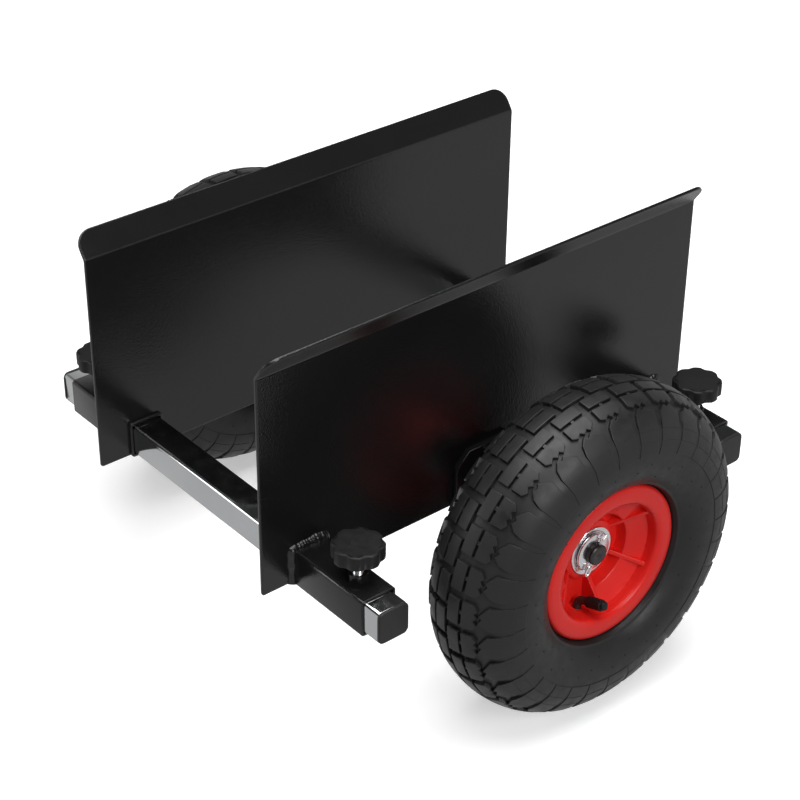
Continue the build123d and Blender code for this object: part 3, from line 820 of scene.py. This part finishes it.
AXLE_FROM_X = BLOCK_FROM_X
AXLE_TO_X = 227.4
WHEEL_X = 210.5
GROOVE_X = 225.2
GROOVE_WIDTH = 0.8
GROOVE_DEPTH = 0.6
WASHER_R = 15.0
WASHER = 2.0
WASHER_BORE_R = 8.3
WASHER_EDGE = 0.35
OUTER_WASHER_X = 219.9
PIN_X = 224.0
PIN_ANGLE = 61.0
PIN_WIRE_R = 0.95
PIN_LEG_APART = 0.72
PIN_LEG_TO = 9.2

painted_steel = finish(
    "black_painted_steel", (0.010, 0.010, 0.010), (0.030, 0.029, 0.028), (0.22, 0.42),
    patch=120.0, grain=700.0, bump=0.00003,
)


def turned(profile, segments=96, ends="joined"):
    """Solid of revolution about the axle. The profile is (x, radius) points."""
    turns = full_circle(segments)
    rings = [[(x, r * math.cos(t), AXLE_Z + r * math.sin(t)) for t in turns] for x, r in profile]
    return skinned(rings, ends)


def wire(path, radii, segments=14):
    """Round wire along a path of Vectors, with a radius for each point."""
    rings = []
    aside = (path[1] - path[0]).normalized().orthogonal().normalized()
    for k, here in enumerate(path):
        way = (path[min(k + 1, len(path) - 1)] - path[max(k - 1, 0)]).normalized()
        aside = (aside - way * aside.dot(way)).normalized()
        across = way.cross(aside)
        ways = [aside * math.cos(t) + across * math.sin(t) for t in full_circle(segments)]
        rings.append([here + outwards * radii[k] for outwards in ways])
    return skinned(rings, "capped")


def about_axle(x, r, angle, aside=0.0):
    """Point at radius r from the axle, at an angle from +Y towards +Z, moved aside square to r."""
    t = math.radians(angle)
    y = r * math.cos(t) - aside * math.sin(t)
    return Vector((x, y, AXLE_Z + r * math.sin(t) + aside * math.cos(t)))


axle_profile = [
    (AXLE_FROM_X, AXLE_R),
    (GROOVE_X, AXLE_R),
    (GROOVE_X + 0.1, AXLE_R - GROOVE_DEPTH),
    (GROOVE_X + GROOVE_WIDTH - 0.1, AXLE_R - GROOVE_DEPTH),
    (GROOVE_X + GROOVE_WIDTH, AXLE_R),
    (AXLE_TO_X - 1.0, AXLE_R),
    (AXLE_TO_X - 0.85, AXLE_R - 0.12),
    (AXLE_TO_X - 0.1, AXLE_R - 0.9),
    (AXLE_TO_X, AXLE_R - 1.1),
    (AXLE_TO_X, 2.2),
    (AXLE_TO_X - 0.5, 1.2),
    (AXLE_TO_X - 0.9, 0.4),
]
make_pair(
    "turned_axle", [turned(axle_profile, ends="capped")],
    painted_steel, "half", "black_painted_axle", "stub_axle",
)

for washer_name, node, washer_x in (
    ("outer_flat_washer", "outer_washer", OUTER_WASHER_X),
    ("inner_flat_washer", "inner_washer", BLOCK_TO_X),
):
    washer_profile = [
        (washer_x + WASHER_EDGE, WASHER_R),
        (washer_x, WASHER_R - WASHER_EDGE),
        (washer_x, WASHER_BORE_R + 0.15),
        (washer_x + 0.15, WASHER_BORE_R),
        (washer_x + WASHER - 0.15, WASHER_BORE_R),
        (washer_x + WASHER, WASHER_BORE_R + 0.15),
        (washer_x + WASHER, WASHER_R - WASHER_EDGE),
        (washer_x + WASHER - 0.1, WASHER_R - 0.1),
        (washer_x + WASHER - WASHER_EDGE, WASHER_R),
    ]
    make_pair(washer_name, [turned(washer_profile)], bright_zinc, "half", "zinc", node)

pin_parts = []
for sign in (-1, 1):
    leg = [(sign * PIN_LEG_APART, r) for r in (-9.6, 0.0, PIN_LEG_TO)]
    for t in (0.2, 0.4, 0.6, 0.8, 1.0):
        leg.append((sign * (PIN_LEG_APART + 0.5 * t + 1.7 * t * t), PIN_LEG_TO + 5.6 * t))
    path = [about_axle(PIN_X, r, PIN_ANGLE, aside) for aside, r in leg]
    pin_parts.append(wire(path, [0.78] * 3 + [0.85, 0.9, 0.9, 0.88, 0.7]))
eye_path = []
for k in range(25):
    t = math.radians(-62 + 304 * k / 24)
    eye_path.append(about_axle(PIN_X, -13.9 - 4.1 * math.sin(t), PIN_ANGLE, 1.95 * math.cos(t)))
pin_parts.append(wire(eye_path, [PIN_WIRE_R] * len(eye_path)))
make_pair("split_pin", pin_parts, bright_zinc, "half", "zinc", "cotter_pin")


# ---- Bearings and spacer ----
# Two flanged ball bearings pressed into the moulded hub, with a steel spacer tube
# between them. A pressed dust shield closes the face of each.

HUB_FACE = 7.5
HUB_INNER_END = -56.7
BEARING_R = 17.5
BEARING_WIDTH = 12.0
BEARING_FLANGE_R = 19.2
BEARING_FLANGE = 1.5
BEARING_BORE_R = 8.05
SPACER_R = 11.0
SPACER_BORE_R = 8.3
SPACER_GAP = 0.2
SPACER_EDGE = 0.3

bearing_steel = finish(
    "bearing_steel", (0.16, 0.16, 0.165), (0.30, 0.30, 0.31), (0.25, 0.40),
    patch=70.0, grain=1200.0, bump=0.00001, metal=1.0,
)


def flanged_bearing(face_x, outwards):
    """Bearing whose flange lies on the hub's face at face_x, with a dished shield."""
    out = face_x + outwards * BEARING_FLANGE
    back_x = face_x - outwards * BEARING_WIDTH
    profile = [
        (back_x, BEARING_BORE_R),
        (out, BEARING_BORE_R),
        (out, 10.6),
        (out - outwards * 0.6, 10.9),
        (out - outwards * 0.45, 12.6),
        (out - outwards * 0.45, 14.8),
        (out - outwards * 0.7, 15.3),
        (out - outwards * 0.1, 15.8),
        (out, 16.0),
        (out, BEARING_FLANGE_R - 0.35),
        (out - outwards * 0.35, BEARING_FLANGE_R),
        (face_x, BEARING_FLANGE_R),
        (face_x, BEARING_R),
        (back_x + outwards * 0.5, BEARING_R),
        (back_x, BEARING_R - 0.5),
    ]
    return turned(profile, segments=72)


for bearing_end, face_x, outwards, plating in (
    ("outer", WHEEL_X + HUB_FACE, 1, bright_zinc),
    ("inner", WHEEL_X + HUB_INNER_END, -1, bearing_steel),
):
    bearing_name = f"{bearing_end}_shielded_bearing"
    make_pair(
        bearing_name, [flanged_bearing(face_x, outwards)],
        plating, "wheel", "zinc", f"{bearing_end}_bearing",
    )

spacer_from = WHEEL_X + HUB_INNER_END + BEARING_WIDTH + SPACER_GAP
spacer_to = WHEEL_X + HUB_FACE - BEARING_WIDTH - SPACER_GAP
spacer_profile = [
    (spacer_from, SPACER_BORE_R),
    (spacer_to, SPACER_BORE_R),
    (spacer_to, SPACER_R - SPACER_EDGE),
    (spacer_to - SPACER_EDGE, SPACER_R),
    (spacer_from + SPACER_EDGE, SPACER_R),
    (spacer_from, SPACER_R - SPACER_EDGE),
]
make_pair(
    "bearing_spacer", [turned(spacer_profile, segments=64)],
    bearing_steel, "wheel", "zinc", "hub_spacer",
)


# ---- Rims ----
# A red moulded wheel in two halves, screwed together through their webs. The outer
# half has a dished floor with six ribs, open down to the web where the valve stands.

RIM_R = 62.0
RIM_FACE = 30.0
BARREL_INNER_R = 46.5
BEAD_SEAT_R = 50.8
FLANGE_ROOT = 21.5
FLANGE_EDGE = 25.5
WEB = 3.0
HUB_R = 23.5
HUB_SPLIT = -6.0
HUB_BORE_R = 14.0
POCKET_R = BEARING_R + 0.05
STEP_R = 31.0
FLOOR_INNER = 13.0
FLOOR_OUTER = 19.0
RIBS = 6
FIRST_RIB_ANGLE = 31.0
RIB = 3.3
RIM_STEP = 2.5
RIB_EASE = 0.6
VALVE_SECTOR = (-149.0, -89.0)

red_plastic = finish(
    "red_moulded_plastic", (0.70, 0.011, 0.009), (0.96, 0.028, 0.020), (0.26, 0.40),
    patch=22.0, grain=1100.0, bump=0.000022, gloss=0.34,
)


def ring_tree():
    """Geometry Nodes: copies of a shape spaced evenly round the axle, joined and coated."""
    tree = bpy.data.node_groups.new("ring_of_copies", "GeometryNodeTree")
    for socket_name, kind in (
        ("Geometry", "Geometry"),
        ("Count", "Int"),
        ("Axle Place", "Vector"),
        ("Join Distance", "Float"),
        ("Finish", "Material"),
    ):
        tree.interface.new_socket(name=socket_name, in_out="INPUT", socket_type=f"NodeSocket{kind}")
    tree.interface.new_socket(name="Geometry", in_out="OUTPUT", socket_type="NodeSocketGeometry")
    given = add_node(tree, "NodeGroupInput", {}).outputs
    one = add_node(tree, "GeometryNodeGeometryToInstance", {0: given["Geometry"]})
    amount = {"Geometry": one.outputs[0], "Amount": given["Count"]}
    many = add_node(tree, "GeometryNodeDuplicateElements", amount, domain="INSTANCE").outputs
    parts = {0: many["Duplicate Index"], 1: given["Count"]}
    share = add_node(tree, "ShaderNodeMath", parts, operation="DIVIDE")
    turn = add_node(tree, "ShaderNodeMath", {0: share.outputs[0], 1: 2 * math.pi}, operation="MULTIPLY")
    angles = add_node(tree, "ShaderNodeCombineXYZ", {"X": turn.outputs[0]})
    placing = {
        "Instances": many["Geometry"],
        "Rotation": angles.outputs[0],
        "Pivot Point": given["Axle Place"],
        "Local Space": False,
    }
    turned_copies = add_node(tree, "GeometryNodeRotateInstances", placing)
    real = add_node(tree, "GeometryNodeRealizeInstances", {0: turned_copies.outputs[0]})
    joint = {"Geometry": real.outputs[0], "Distance": given["Join Distance"]}
    merge = add_node(tree, "GeometryNodeMergeByDistance", joint)
    coating = {"Geometry": merge.outputs[0], "Material": given["Finish"]}
    coat = add_node(tree, "GeometryNodeSetMaterial", coating)
    add_node(tree, "NodeGroupOutput", {"Geometry": coat.outputs[0]})
    return tree


ring_of_copies = ring_tree()


def copied_round(name, parts, count, material, smooth_below=32.0):
    """Plain mesh of parts repeated round the right-hand axle by Geometry Nodes."""
    seed = bpy.data.objects.new(name, solid_mesh(name, parts, material, smooth_below))
    bpy.context.scene.collection.objects.link(seed)
    modifier = seed.modifiers.new("ring", "NODES")
    modifier.node_group = ring_of_copies
    values = {
        "Count": count,
        "Axle Place": (0.0, 0.0, AXLE_Z * 0.001),
        "Join Distance": JOIN_DISTANCE,
        "Finish": material,
    }
    for item in ring_of_copies.interface.items_tree:
        if item.in_out == "INPUT" and item.name in values:
            modifier[item.identifier] = values[item.name]
    graph = bpy.context.evaluated_depsgraph_get()
    mesh = bpy.data.meshes.new_from_object(seed.evaluated_get(graph))
    mesh.name = name
    seed.modifiers.remove(modifier)
    bpy.data.objects.remove(seed)
    tidy_mesh(mesh, smooth_below)
    return mesh


def on_wheel(u, r, angle, aside=0.0):
    """Point of the right-hand wheel, u outwards from its centre plane."""
    return about_axle(WHEEL_X + u, r, angle, aside)


def flange_profile(outwards):
    """Rounded rim flange from the barrel's mouth round to the bead seat."""
    outline = [(24.0, BARREL_INNER_R), (26.6, 46.6), (28.2, 47.3), (29.3, 48.7), (29.85, 50.6)]
    outline += [(RIM_FACE, 52.6), (RIM_FACE, 57.2), (29.75, 59.2), (29.1, 60.7), (28.0, 61.65)]
    outline += [(26.8, RIM_R), (FLANGE_EDGE, RIM_R), (FLANGE_EDGE, BEAD_SEAT_R + 5)]
    outline.append((FLANGE_ROOT, BEAD_SEAT_R))
    return [(outwards * u, r) for u, r in outline]


def outer_rim_profile(angle):
    """Section of the outer half at an angle. The valve's sector has no dish floor."""
    hub = [(HUB_FACE, POCKET_R), (HUB_FACE, HUB_R - 0.9), (HUB_FACE - 0.3, HUB_R - 0.3)]
    hub += [(HUB_FACE - 0.9, HUB_R), (WEB + 0.8, HUB_R), (WEB + 0.2, HUB_R + 0.3), (WEB, HUB_R + 0.9)]
    if VALVE_SECTOR[0] < angle < VALVE_SECTOR[1]:
        floor_front = [(WEB, r) for r in (30.2, 31.5, 33.0, 36.0, 39.0, 42.0, 44.0)]
        floor_front += [(WEB, 45.6), (WEB + 0.3, 46.2), (WEB + 1.0, BARREL_INNER_R)]
        floor_back = [(0.0, r) for r in (46.4, 45.0, 40.0, 36.0, 35.5, 35.0)]
    else:
        floor_front = [(WEB, 30.0), (WEB + 0.25, 30.7), (WEB + 0.9, STEP_R), (FLOOR_INNER - 1.5, STEP_R)]
        floor_front += [(FLOOR_INNER - 0.6, STEP_R + 0.15), (FLOOR_INNER, STEP_R + 0.7)]
        floor_front += [(FLOOR_INNER + 0.35, STEP_R + 1.5), (FLOOR_OUTER - 0.5, 45.2)]
        floor_front += [(FLOOR_OUTER + 0.2, 46.2), (FLOOR_OUTER + 1.2, BARREL_INNER_R)]
        floor_back = [(0.0, 46.4), (FLOOR_OUTER - WEB, 46.4), (FLOOR_INNER - WEB, STEP_R + WEB)]
        floor_back += [(WEB, STEP_R + WEB), (WEB, STEP_R + WEB + 1), (0.0, STEP_R + WEB + 1)]
    inside = [(0.0, HUB_R), (HUB_SPLIT, HUB_R), (HUB_SPLIT, HUB_BORE_R)]
    inside += [(HUB_FACE - BEARING_WIDTH, HUB_BORE_R), (HUB_FACE - BEARING_WIDTH, POCKET_R)]
    return hub + floor_front + flange_profile(1) + [(0.0, BEAD_SEAT_R)] + floor_back + inside


def turned_by_angle(profile_at):
    """Ring about the wheel's axis whose section may change with the angle."""
    rings = []
    for k in range(round(360 / RIM_STEP)):
        angle = (FIRST_RIB_ANGLE + RIM_STEP * (k + 0.5) + 180) % 360 - 180
        rings.append([on_wheel(u, r, angle) for u, r in profile_at(angle)])
    return skinned(rings, "joined")


def rib_plate(outline):
    """Rib standing along a radius. The outline is (distance from centre plane, radius)."""

    def place(u, r, height):
        return on_wheel(u, r, FIRST_RIB_ANGLE, height)

    return slab(outline, [], eased_rings(-RIB / 2, RIB / 2, RIB_EASE), place)


make_pair(
    "outer_rim_body", [turned_by_angle(outer_rim_profile)],
    red_plastic, "wheel", "red_plastic", "rim_outer",
)
rib_outline = [(1.0, 22.6), (6.9, 22.6), (24.9, 47.6), (1.0, 47.6)]
rib_mesh = copied_round("outer_rim_ribs", [rib_plate(rib_outline)], RIBS, red_plastic)
fit_pair("outer_rim_ribs", rib_mesh, "wheel", "red_plastic")

# The inner half: flange, flat web and the long end of the hub.
inner_profile = [(0.0, HUB_R + 0.05), (0.0, BEAD_SEAT_R)]
inner_profile += reversed(flange_profile(-1))
inner_profile += [(-WEB - 1.0, BARREL_INNER_R), (-WEB - 0.3, BARREL_INNER_R - 0.3)]
inner_profile += [(-WEB, BARREL_INNER_R - 1.0), (-WEB, 31.5), (-WEB - 0.8, 29.9), (-11.0, 23.7)]
inner_profile += [(-12.6, 22.95), (HUB_INNER_END + 0.9, 21.5), (HUB_INNER_END + 0.2, 21.2)]
inner_profile += [(HUB_INNER_END, 20.6), (HUB_INNER_END, POCKET_R)]
inner_profile += [(HUB_INNER_END + BEARING_WIDTH, r) for r in (POCKET_R, HUB_BORE_R)]
inner_profile += [(HUB_SPLIT, HUB_BORE_R), (HUB_SPLIT, HUB_R + 0.05)]
make_pair(
    "inner_rim_body", [turned_by_angle(lambda _: inner_profile)],
    red_plastic, "wheel", "red_plastic", "rim_inner",
)
gusset_shape = [(-2.5, 47.0), (-15.0, 47.0), (-24.0, 21.5), (-11.0, 21.5), (-2.5, 27.5)]
rim_gussets = copied_round("inner_rim_gussets", [rib_plate(gusset_shape)], RIBS, red_plastic)
fit_pair("inner_rim_gussets", rim_gussets, "wheel", "red_plastic")


# ---- Rim screws ----
# Six zinc plated pan-head screws with hexagon sockets, driven from the inner side
# through one web into the other.

SCREW_CIRCLE_R = 38.5
SCREW_R = 2.5
SCREW_HEAD_R = 4.5
SCREW_SOCKET = 3.4
SCREW_HEAD = 2.8
SCREW_ANGLE = FIRST_RIB_ANGLE + 180 / RIBS


def rim_screw():
    """One screw on the web, halfway between two ribs."""
    stations = [(WEB - 0.2, SCREW_R), (-WEB, SCREW_R), (-WEB, SCREW_HEAD_R - 0.15)]
    stations += [(-WEB - 0.15, SCREW_HEAD_R), (-WEB - 1.2, SCREW_HEAD_R), (-WEB - 2.0, 4.2)]
    stations += [(-WEB - 2.55, 3.4), (-WEB - SCREW_HEAD, 2.4)]
    stations += [(-WEB - SCREW_HEAD, None), (-WEB - 1.2, None)]
    rings = []
    for u, radius in stations:
        ring = []
        for t in full_circle(36):
            r = radius if radius else hexagon_reach(t, SCREW_SOCKET)
            ring.append(on_wheel(u, SCREW_CIRCLE_R + r * math.sin(t), SCREW_ANGLE, r * math.cos(t)))
        rings.append(ring)
    return skinned(rings, "capped")


screw_mesh = copied_round("socket_head_screws", [rim_screw()], RIBS, bright_zinc)
fit_pair("socket_head_screws", screw_mesh, "wheel", "zinc", "rim_screws")


# ---- Tyres ----
# A 4.10/3.50-4 pneumatic tyre of black rubber. Thirty moulded pitches of blocks and
# shoulder lugs run round it, and the inner half is half a pitch behind the outer.

TYRE_R = 130.0
TYRE_HALF_WIDTH = 42.0
WIDEST_R = 89.0
CROWN_HALF_WIDTH = 37.5
CROWN_CENTRE_R = 104.0
SHOULDER_U = 33.84
UPPER_WALL_R = 46.14
LOWER_WALL_R = 31.85
LIP_R = 63.7
PITCHES = 30
PITCH = 360.0 / PITCHES
TREAD_DEPTH = 2.8
WALL_DEPTH = 0.8
BLOCK_LEAD = {1: 0.6, -1: 6.6}
MM_PER_DEGREE = math.radians(129.0)
LIP_LENGTH = 5.5
CAVITY = (35.0, 33.0)
CAVITY_CENTRE_R = 86.5

tyre_rubber = finish(
    "tyre_rubber", (0.0070, 0.0070, 0.0072), (0.0160, 0.0160, 0.0162), (0.36, 0.52),
    patch=30.0, grain=1500.0, bump=0.00006, gloss=0.42,
)

upper_turn = math.acos((SHOULDER_U + UPPER_WALL_R - TYRE_HALF_WIDTH) / UPPER_WALL_R)
upper_length = upper_turn * UPPER_WALL_R
lower_turn = math.asin((WIDEST_R - LIP_R) / LOWER_WALL_R)
wall_end = SHOULDER_U + upper_length + lower_turn * LOWER_WALL_R


def tyre_skin(p, height):
    """Point (u, r) over the tyre's outline. p is the distance across the crown from the centre
    line, then down the sidewall, and height is measured outwards from the outline."""
    side = 1 if p >= 0 else -1
    across = abs(p)
    if across <= SHOULDER_U:
        rise = math.sqrt(1 - (across / CROWN_HALF_WIDTH) ** 2)
        crown_height = TYRE_R - CROWN_CENTRE_R
        normal = Vector((across / CROWN_HALF_WIDTH**2, rise / crown_height)).normalized()
        u, r = across, CROWN_CENTRE_R + crown_height * rise
    elif across <= SHOULDER_U + upper_length:
        turn = upper_turn - (across - SHOULDER_U) / UPPER_WALL_R
        normal = Vector((math.cos(turn), math.sin(turn)))
        u = TYRE_HALF_WIDTH - UPPER_WALL_R + UPPER_WALL_R * math.cos(turn)
        r = WIDEST_R + UPPER_WALL_R * math.sin(turn)
    else:
        turn = -(across - SHOULDER_U - upper_length) / LOWER_WALL_R
        normal = Vector((math.cos(turn), math.sin(turn)))
        u = TYRE_HALF_WIDTH - LOWER_WALL_R + LOWER_WALL_R * math.cos(turn)
        r = WIDEST_R + LOWER_WALL_R * math.sin(turn)
    return side * (u + normal.x * height), r + normal.y * height


def wall_at(radius):
    """Distance p at which the outer sidewall has this radius."""
    if radius >= WIDEST_R:
        return SHOULDER_U + upper_length - UPPER_WALL_R * math.asin((radius - WIDEST_R) / UPPER_WALL_R)
    return SHOULDER_U + upper_length + LOWER_WALL_R * math.asin((WIDEST_R - radius) / LOWER_WALL_R)


def eased_step(x, low, high):
    t = min(1.0, max(0.0, (x - low) / (high - low)))
    return t * t * (3 - 2 * t)


def carcass_depth(p):
    """How far the rubber between the blocks lies below the outline."""
    across = abs(p)
    depth = TREAD_DEPTH - (TREAD_DEPTH - WALL_DEPTH) * eased_step(across, 27.0, 39.0)
    depth -= WALL_DEPTH * eased_step(across, 62.0, 80.0)
    lip = 0.7 * math.exp(-(((across - wall_end + 2.2) / 1.3) ** 2))
    return depth - lip


def carcass_section():
    """Closed outline (u, r) of the carcass, from one bead round the tread to the other."""
    crown = [-SHOULDER_U + 2 * SHOULDER_U * k / 20 for k in range(21)]
    lip_from = wall_end - LIP_LENGTH
    wall = [SHOULDER_U + (lip_from - SHOULDER_U) * k / 14 for k in range(1, 15)]
    wall += [lip_from + LIP_LENGTH * k / 12 for k in range(1, 13)]
    across = [-p for p in reversed(wall)] + crown + wall
    outline = [tyre_skin(p, -carcass_depth(p)) for p in across]
    bead = [(25.2, 62.3), (25.2, 56.1), (21.2, 51.1), (17.0, 51.1)]
    cavity = []
    for k in range(17):
        t = math.radians(-61 + 302 * k / 16)
        cavity.append((CAVITY[0] * math.cos(t), CAVITY_CENTRE_R + CAVITY[1] * math.sin(t)))
    outline += bead + cavity + [(-u, r) for u, r in reversed(bead)]
    return outline


def carcass_pitch():
    """One pitch of the carcass, open at its two cut faces."""
    steps = 6
    section = carcass_section()
    return skinned([[on_wheel(u, r, PITCH * k / steps) for u, r in section] for k in range(steps + 1)])


def rubber_block(outline, face, side, depth=None):
    """Moulded block. The outline is (degrees, p), face is its height over the tyre's outline."""
    flat = [(degrees * MM_PER_DEGREE, p) for degrees, p in outline]
    area = sum(a[0] * b[1] - b[0] * a[1] for a, b in zip(flat, flat[1:] + flat[:1]))
    flat = flat if area > 0 else flat[::-1]

    def place(x, p, height):
        u, r = tyre_skin(side * p, height)
        return on_wheel(u, r, x / MM_PER_DEGREE + BLOCK_LEAD[side])

    lows = [min(q[axis] for q in flat) for axis in (0, 1)]
    highs = [max(q[axis] for q in flat) for axis in (0, 1)]
    cuts = []
    for axis, spacing in ((0, 5.2), (1, 4.0)):
        span = highs[axis] - lows[axis]
        parts = max(1, round(span / spacing))
        cuts += [(axis, lows[axis] + span * k / parts) for k in range(1, parts)]
    sunk = depth if depth else max(carcass_depth(lows[1]), carcass_depth(highs[1])) + 0.5
    rings = [(-0.7, face), (-0.36, face), (-0.1, face - 0.08), (0.0, face - 0.34), (0.2, -sunk)]
    return slab(flat, cuts, rings, place)


def tread_pitch():
    """All the blocks, lugs and sidewall bands of one pitch."""
    top, middle, low = wall_at(110.3), wall_at(102.8), wall_at(93.0)
    centre = [(0, 1.2), (0, 11.0), (-9.2, 11.0), (-9.2, 1.2)]
    bar = [(-4.1, 10.6), (-4.1, 13.7), (-5.4, 13.7), (-5.4, 10.6)]
    shoulder = [(0, 13.3), (0, 21.8), (-1.8, 24.0), (-3.4, 21.8), (-4.5, 24.3), (-6.1, 22.0)]
    shoulder += [(-7.1, 24.2), (-8.75, 21.9), (-9.2, 21.3), (-9.2, 13.3)]
    lug = [(0, top - 0.3), (0, 33.6), (-1.1, 28.7), (-3.3, 25.2), (-4.8, 26.9), (-5.95, 25.3)]
    lug += [(-9.4, 30.0), (-9.5, top - 0.3)]
    upper_band = [(0, top - 0.6), (0, middle - 0.2), (-9.5, middle - 0.2), (-9.5, top - 0.6)]
    lower_band = [(0, middle - 0.4), (0.9, low), (-10.6, low), (-9.5, middle - 0.4)]
    blocks = ((centre, 0.0), (bar, -0.9), (shoulder, 0.0), (lug, 0.0))
    blocks += ((upper_band, -0.2, 1.6), (lower_band, -0.42, 1.4))
    parts = []
    for side in (1, -1):
        parts += [rubber_block(outline, face, side, *depth) for outline, face, *depth in blocks]
    return parts


tyre_parts = [carcass_pitch()] + tread_pitch()
tyre_mesh = copied_round("tyre_carcass_and_tread", tyre_parts, PITCHES, tyre_rubber, 20.0)
fit_pair("tyre_carcass_and_tread", tyre_mesh, "wheel", "tyre_rubber", "tyre")

NUB_R = 0.55
NUB_HEIGHT = 0.5
NUB_COUNT = 15
NUB_PLACES = ((85, 4.0), (81, 13.0), (73, 19.0))


def vent_nub(radius, degrees, side):
    """Stub of rubber left by an air vent of the mould, standing on the sidewall."""
    p = wall_at(radius)
    stations = [(NUB_R * 1.3, -0.8), (NUB_R * 1.2, 0.0), (NUB_R, NUB_HEIGHT - 0.2)]
    stations.append((NUB_R * 0.6, NUB_HEIGHT))
    rings = []
    for reach, height in stations:
        ring = []
        for t in full_circle(8):
            u, r = tyre_skin(side * (p + reach * math.cos(t)), height - carcass_depth(p))
            ring.append(on_wheel(u, r, degrees + math.degrees(reach * math.sin(t) / radius)))
        rings.append(ring)
    return skinned(rings, "capped")


nub_parts = [vent_nub(radius, degrees, face) for face in (1, -1) for radius, degrees in NUB_PLACES]
nub_mesh = copied_round("tyre_vent_nubs", nub_parts, NUB_COUNT, tyre_rubber, 40.0)
fit_pair("tyre_vent_nubs", nub_mesh, "wheel", "tyre_rubber")

tube_rubber = finish(
    "air_tube_rubber", (0.012, 0.012, 0.012), (0.022, 0.022, 0.022), (0.5, 0.7),
    patch=20.0,
)
for side, _ in SIDES:
    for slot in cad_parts[f"{side}_inner_tube"].material_slots:
        slot.material = tube_rubber


# ---- Valves ----
# A bent rubber-covered valve stem comes through the barrel and stands out over the
# hub, closed by a ribbed black dust cap.

VALVE_ANGLE = -105.0
VALVE_U = 9.5
VALVE_STEM_R = 3.1
VALVE_ELBOW_R = 39.5
VALVE_BEND_R = 5.0
VALVE_LEG = 26.0
VALVE_LEAN = math.radians(17.0)
VALVE_CAP_R = 4.4
VALVE_CAP_LENGTH = 17.0
VALVE_CAP_RIDGES = 20
VALVE_CAP_RIDGE = 0.08
VALVE_THREAD_R = 2.6

valve_rubber = finish(
    "valve_rubber", (0.012, 0.012, 0.013), (0.024, 0.022, 0.023), (0.35, 0.5),
    patch=60.0, grain=1200.0, bump=0.00003,
)


def valve_point(u, r):
    return on_wheel(u, r, VALVE_ANGLE)


def on_leg(distance):
    """Point on the valve's outward leg, measured from the elbow's corner."""
    u = VALVE_U + distance * math.cos(VALVE_LEAN)
    return valve_point(u, VALVE_ELBOW_R - distance * math.sin(VALVE_LEAN))


def ridged_wire(path, radii):
    """Round bar along a path with fine lengthwise ridges between its ends."""
    count = VALVE_CAP_RIDGES * 2
    points, faces = wire(path, radii, count)
    for k in range(count * 2, len(points) - 3 * count):
        if k % 2:
            middle = path[k // count]
            points[k] = middle + (points[k] - middle) * (1 - VALVE_CAP_RIDGE)
    return points, faces


bend_turn = math.pi / 2 - VALVE_LEAN
bend_reach = VALVE_BEND_R * math.tan(bend_turn / 2)
stem_path = [valve_point(VALVE_U, r) for r in (56.0, 50.0, VALVE_ELBOW_R + bend_reach)]
for k in range(1, 9):
    turn = bend_turn * k / 8
    u = VALVE_U + VALVE_BEND_R * (1 - math.cos(turn))
    r = VALVE_ELBOW_R + bend_reach - VALVE_BEND_R * math.sin(turn)
    stem_path.append(valve_point(u, r))
cap_start = VALVE_LEG - VALVE_CAP_LENGTH
stem_path.append(on_leg(cap_start))
thread_path = [on_leg(cap_start - 1.0), on_leg(VALVE_LEG - 4.0)]
stem_parts = [
    wire(stem_path, [VALVE_STEM_R] * len(stem_path), 28),
    wire(thread_path, [VALVE_THREAD_R] * len(thread_path), 24),
]
make_pair("bent_valve_stem", stem_parts, valve_rubber, "wheel", "valve_rubber", "valve_stem")

cap_profile = [(0.0, 3.7), (0.4, 4.1), (0.9, VALVE_CAP_R), (13.6, VALVE_CAP_R), (14.0, 4.1), (14.2, 3.6)]
cap_profile += [(16.2, 3.3), (16.8, 2.9), (17.0, 2.3)]
cap_path = [on_leg(cap_start + distance) for distance, _ in cap_profile]
cap_part = ridged_wire(cap_path, [radius for _, radius in cap_profile])
make_pair("ribbed_valve_cap", [cap_part], black_nylon, "wheel", "valve_rubber", "valve_cap")
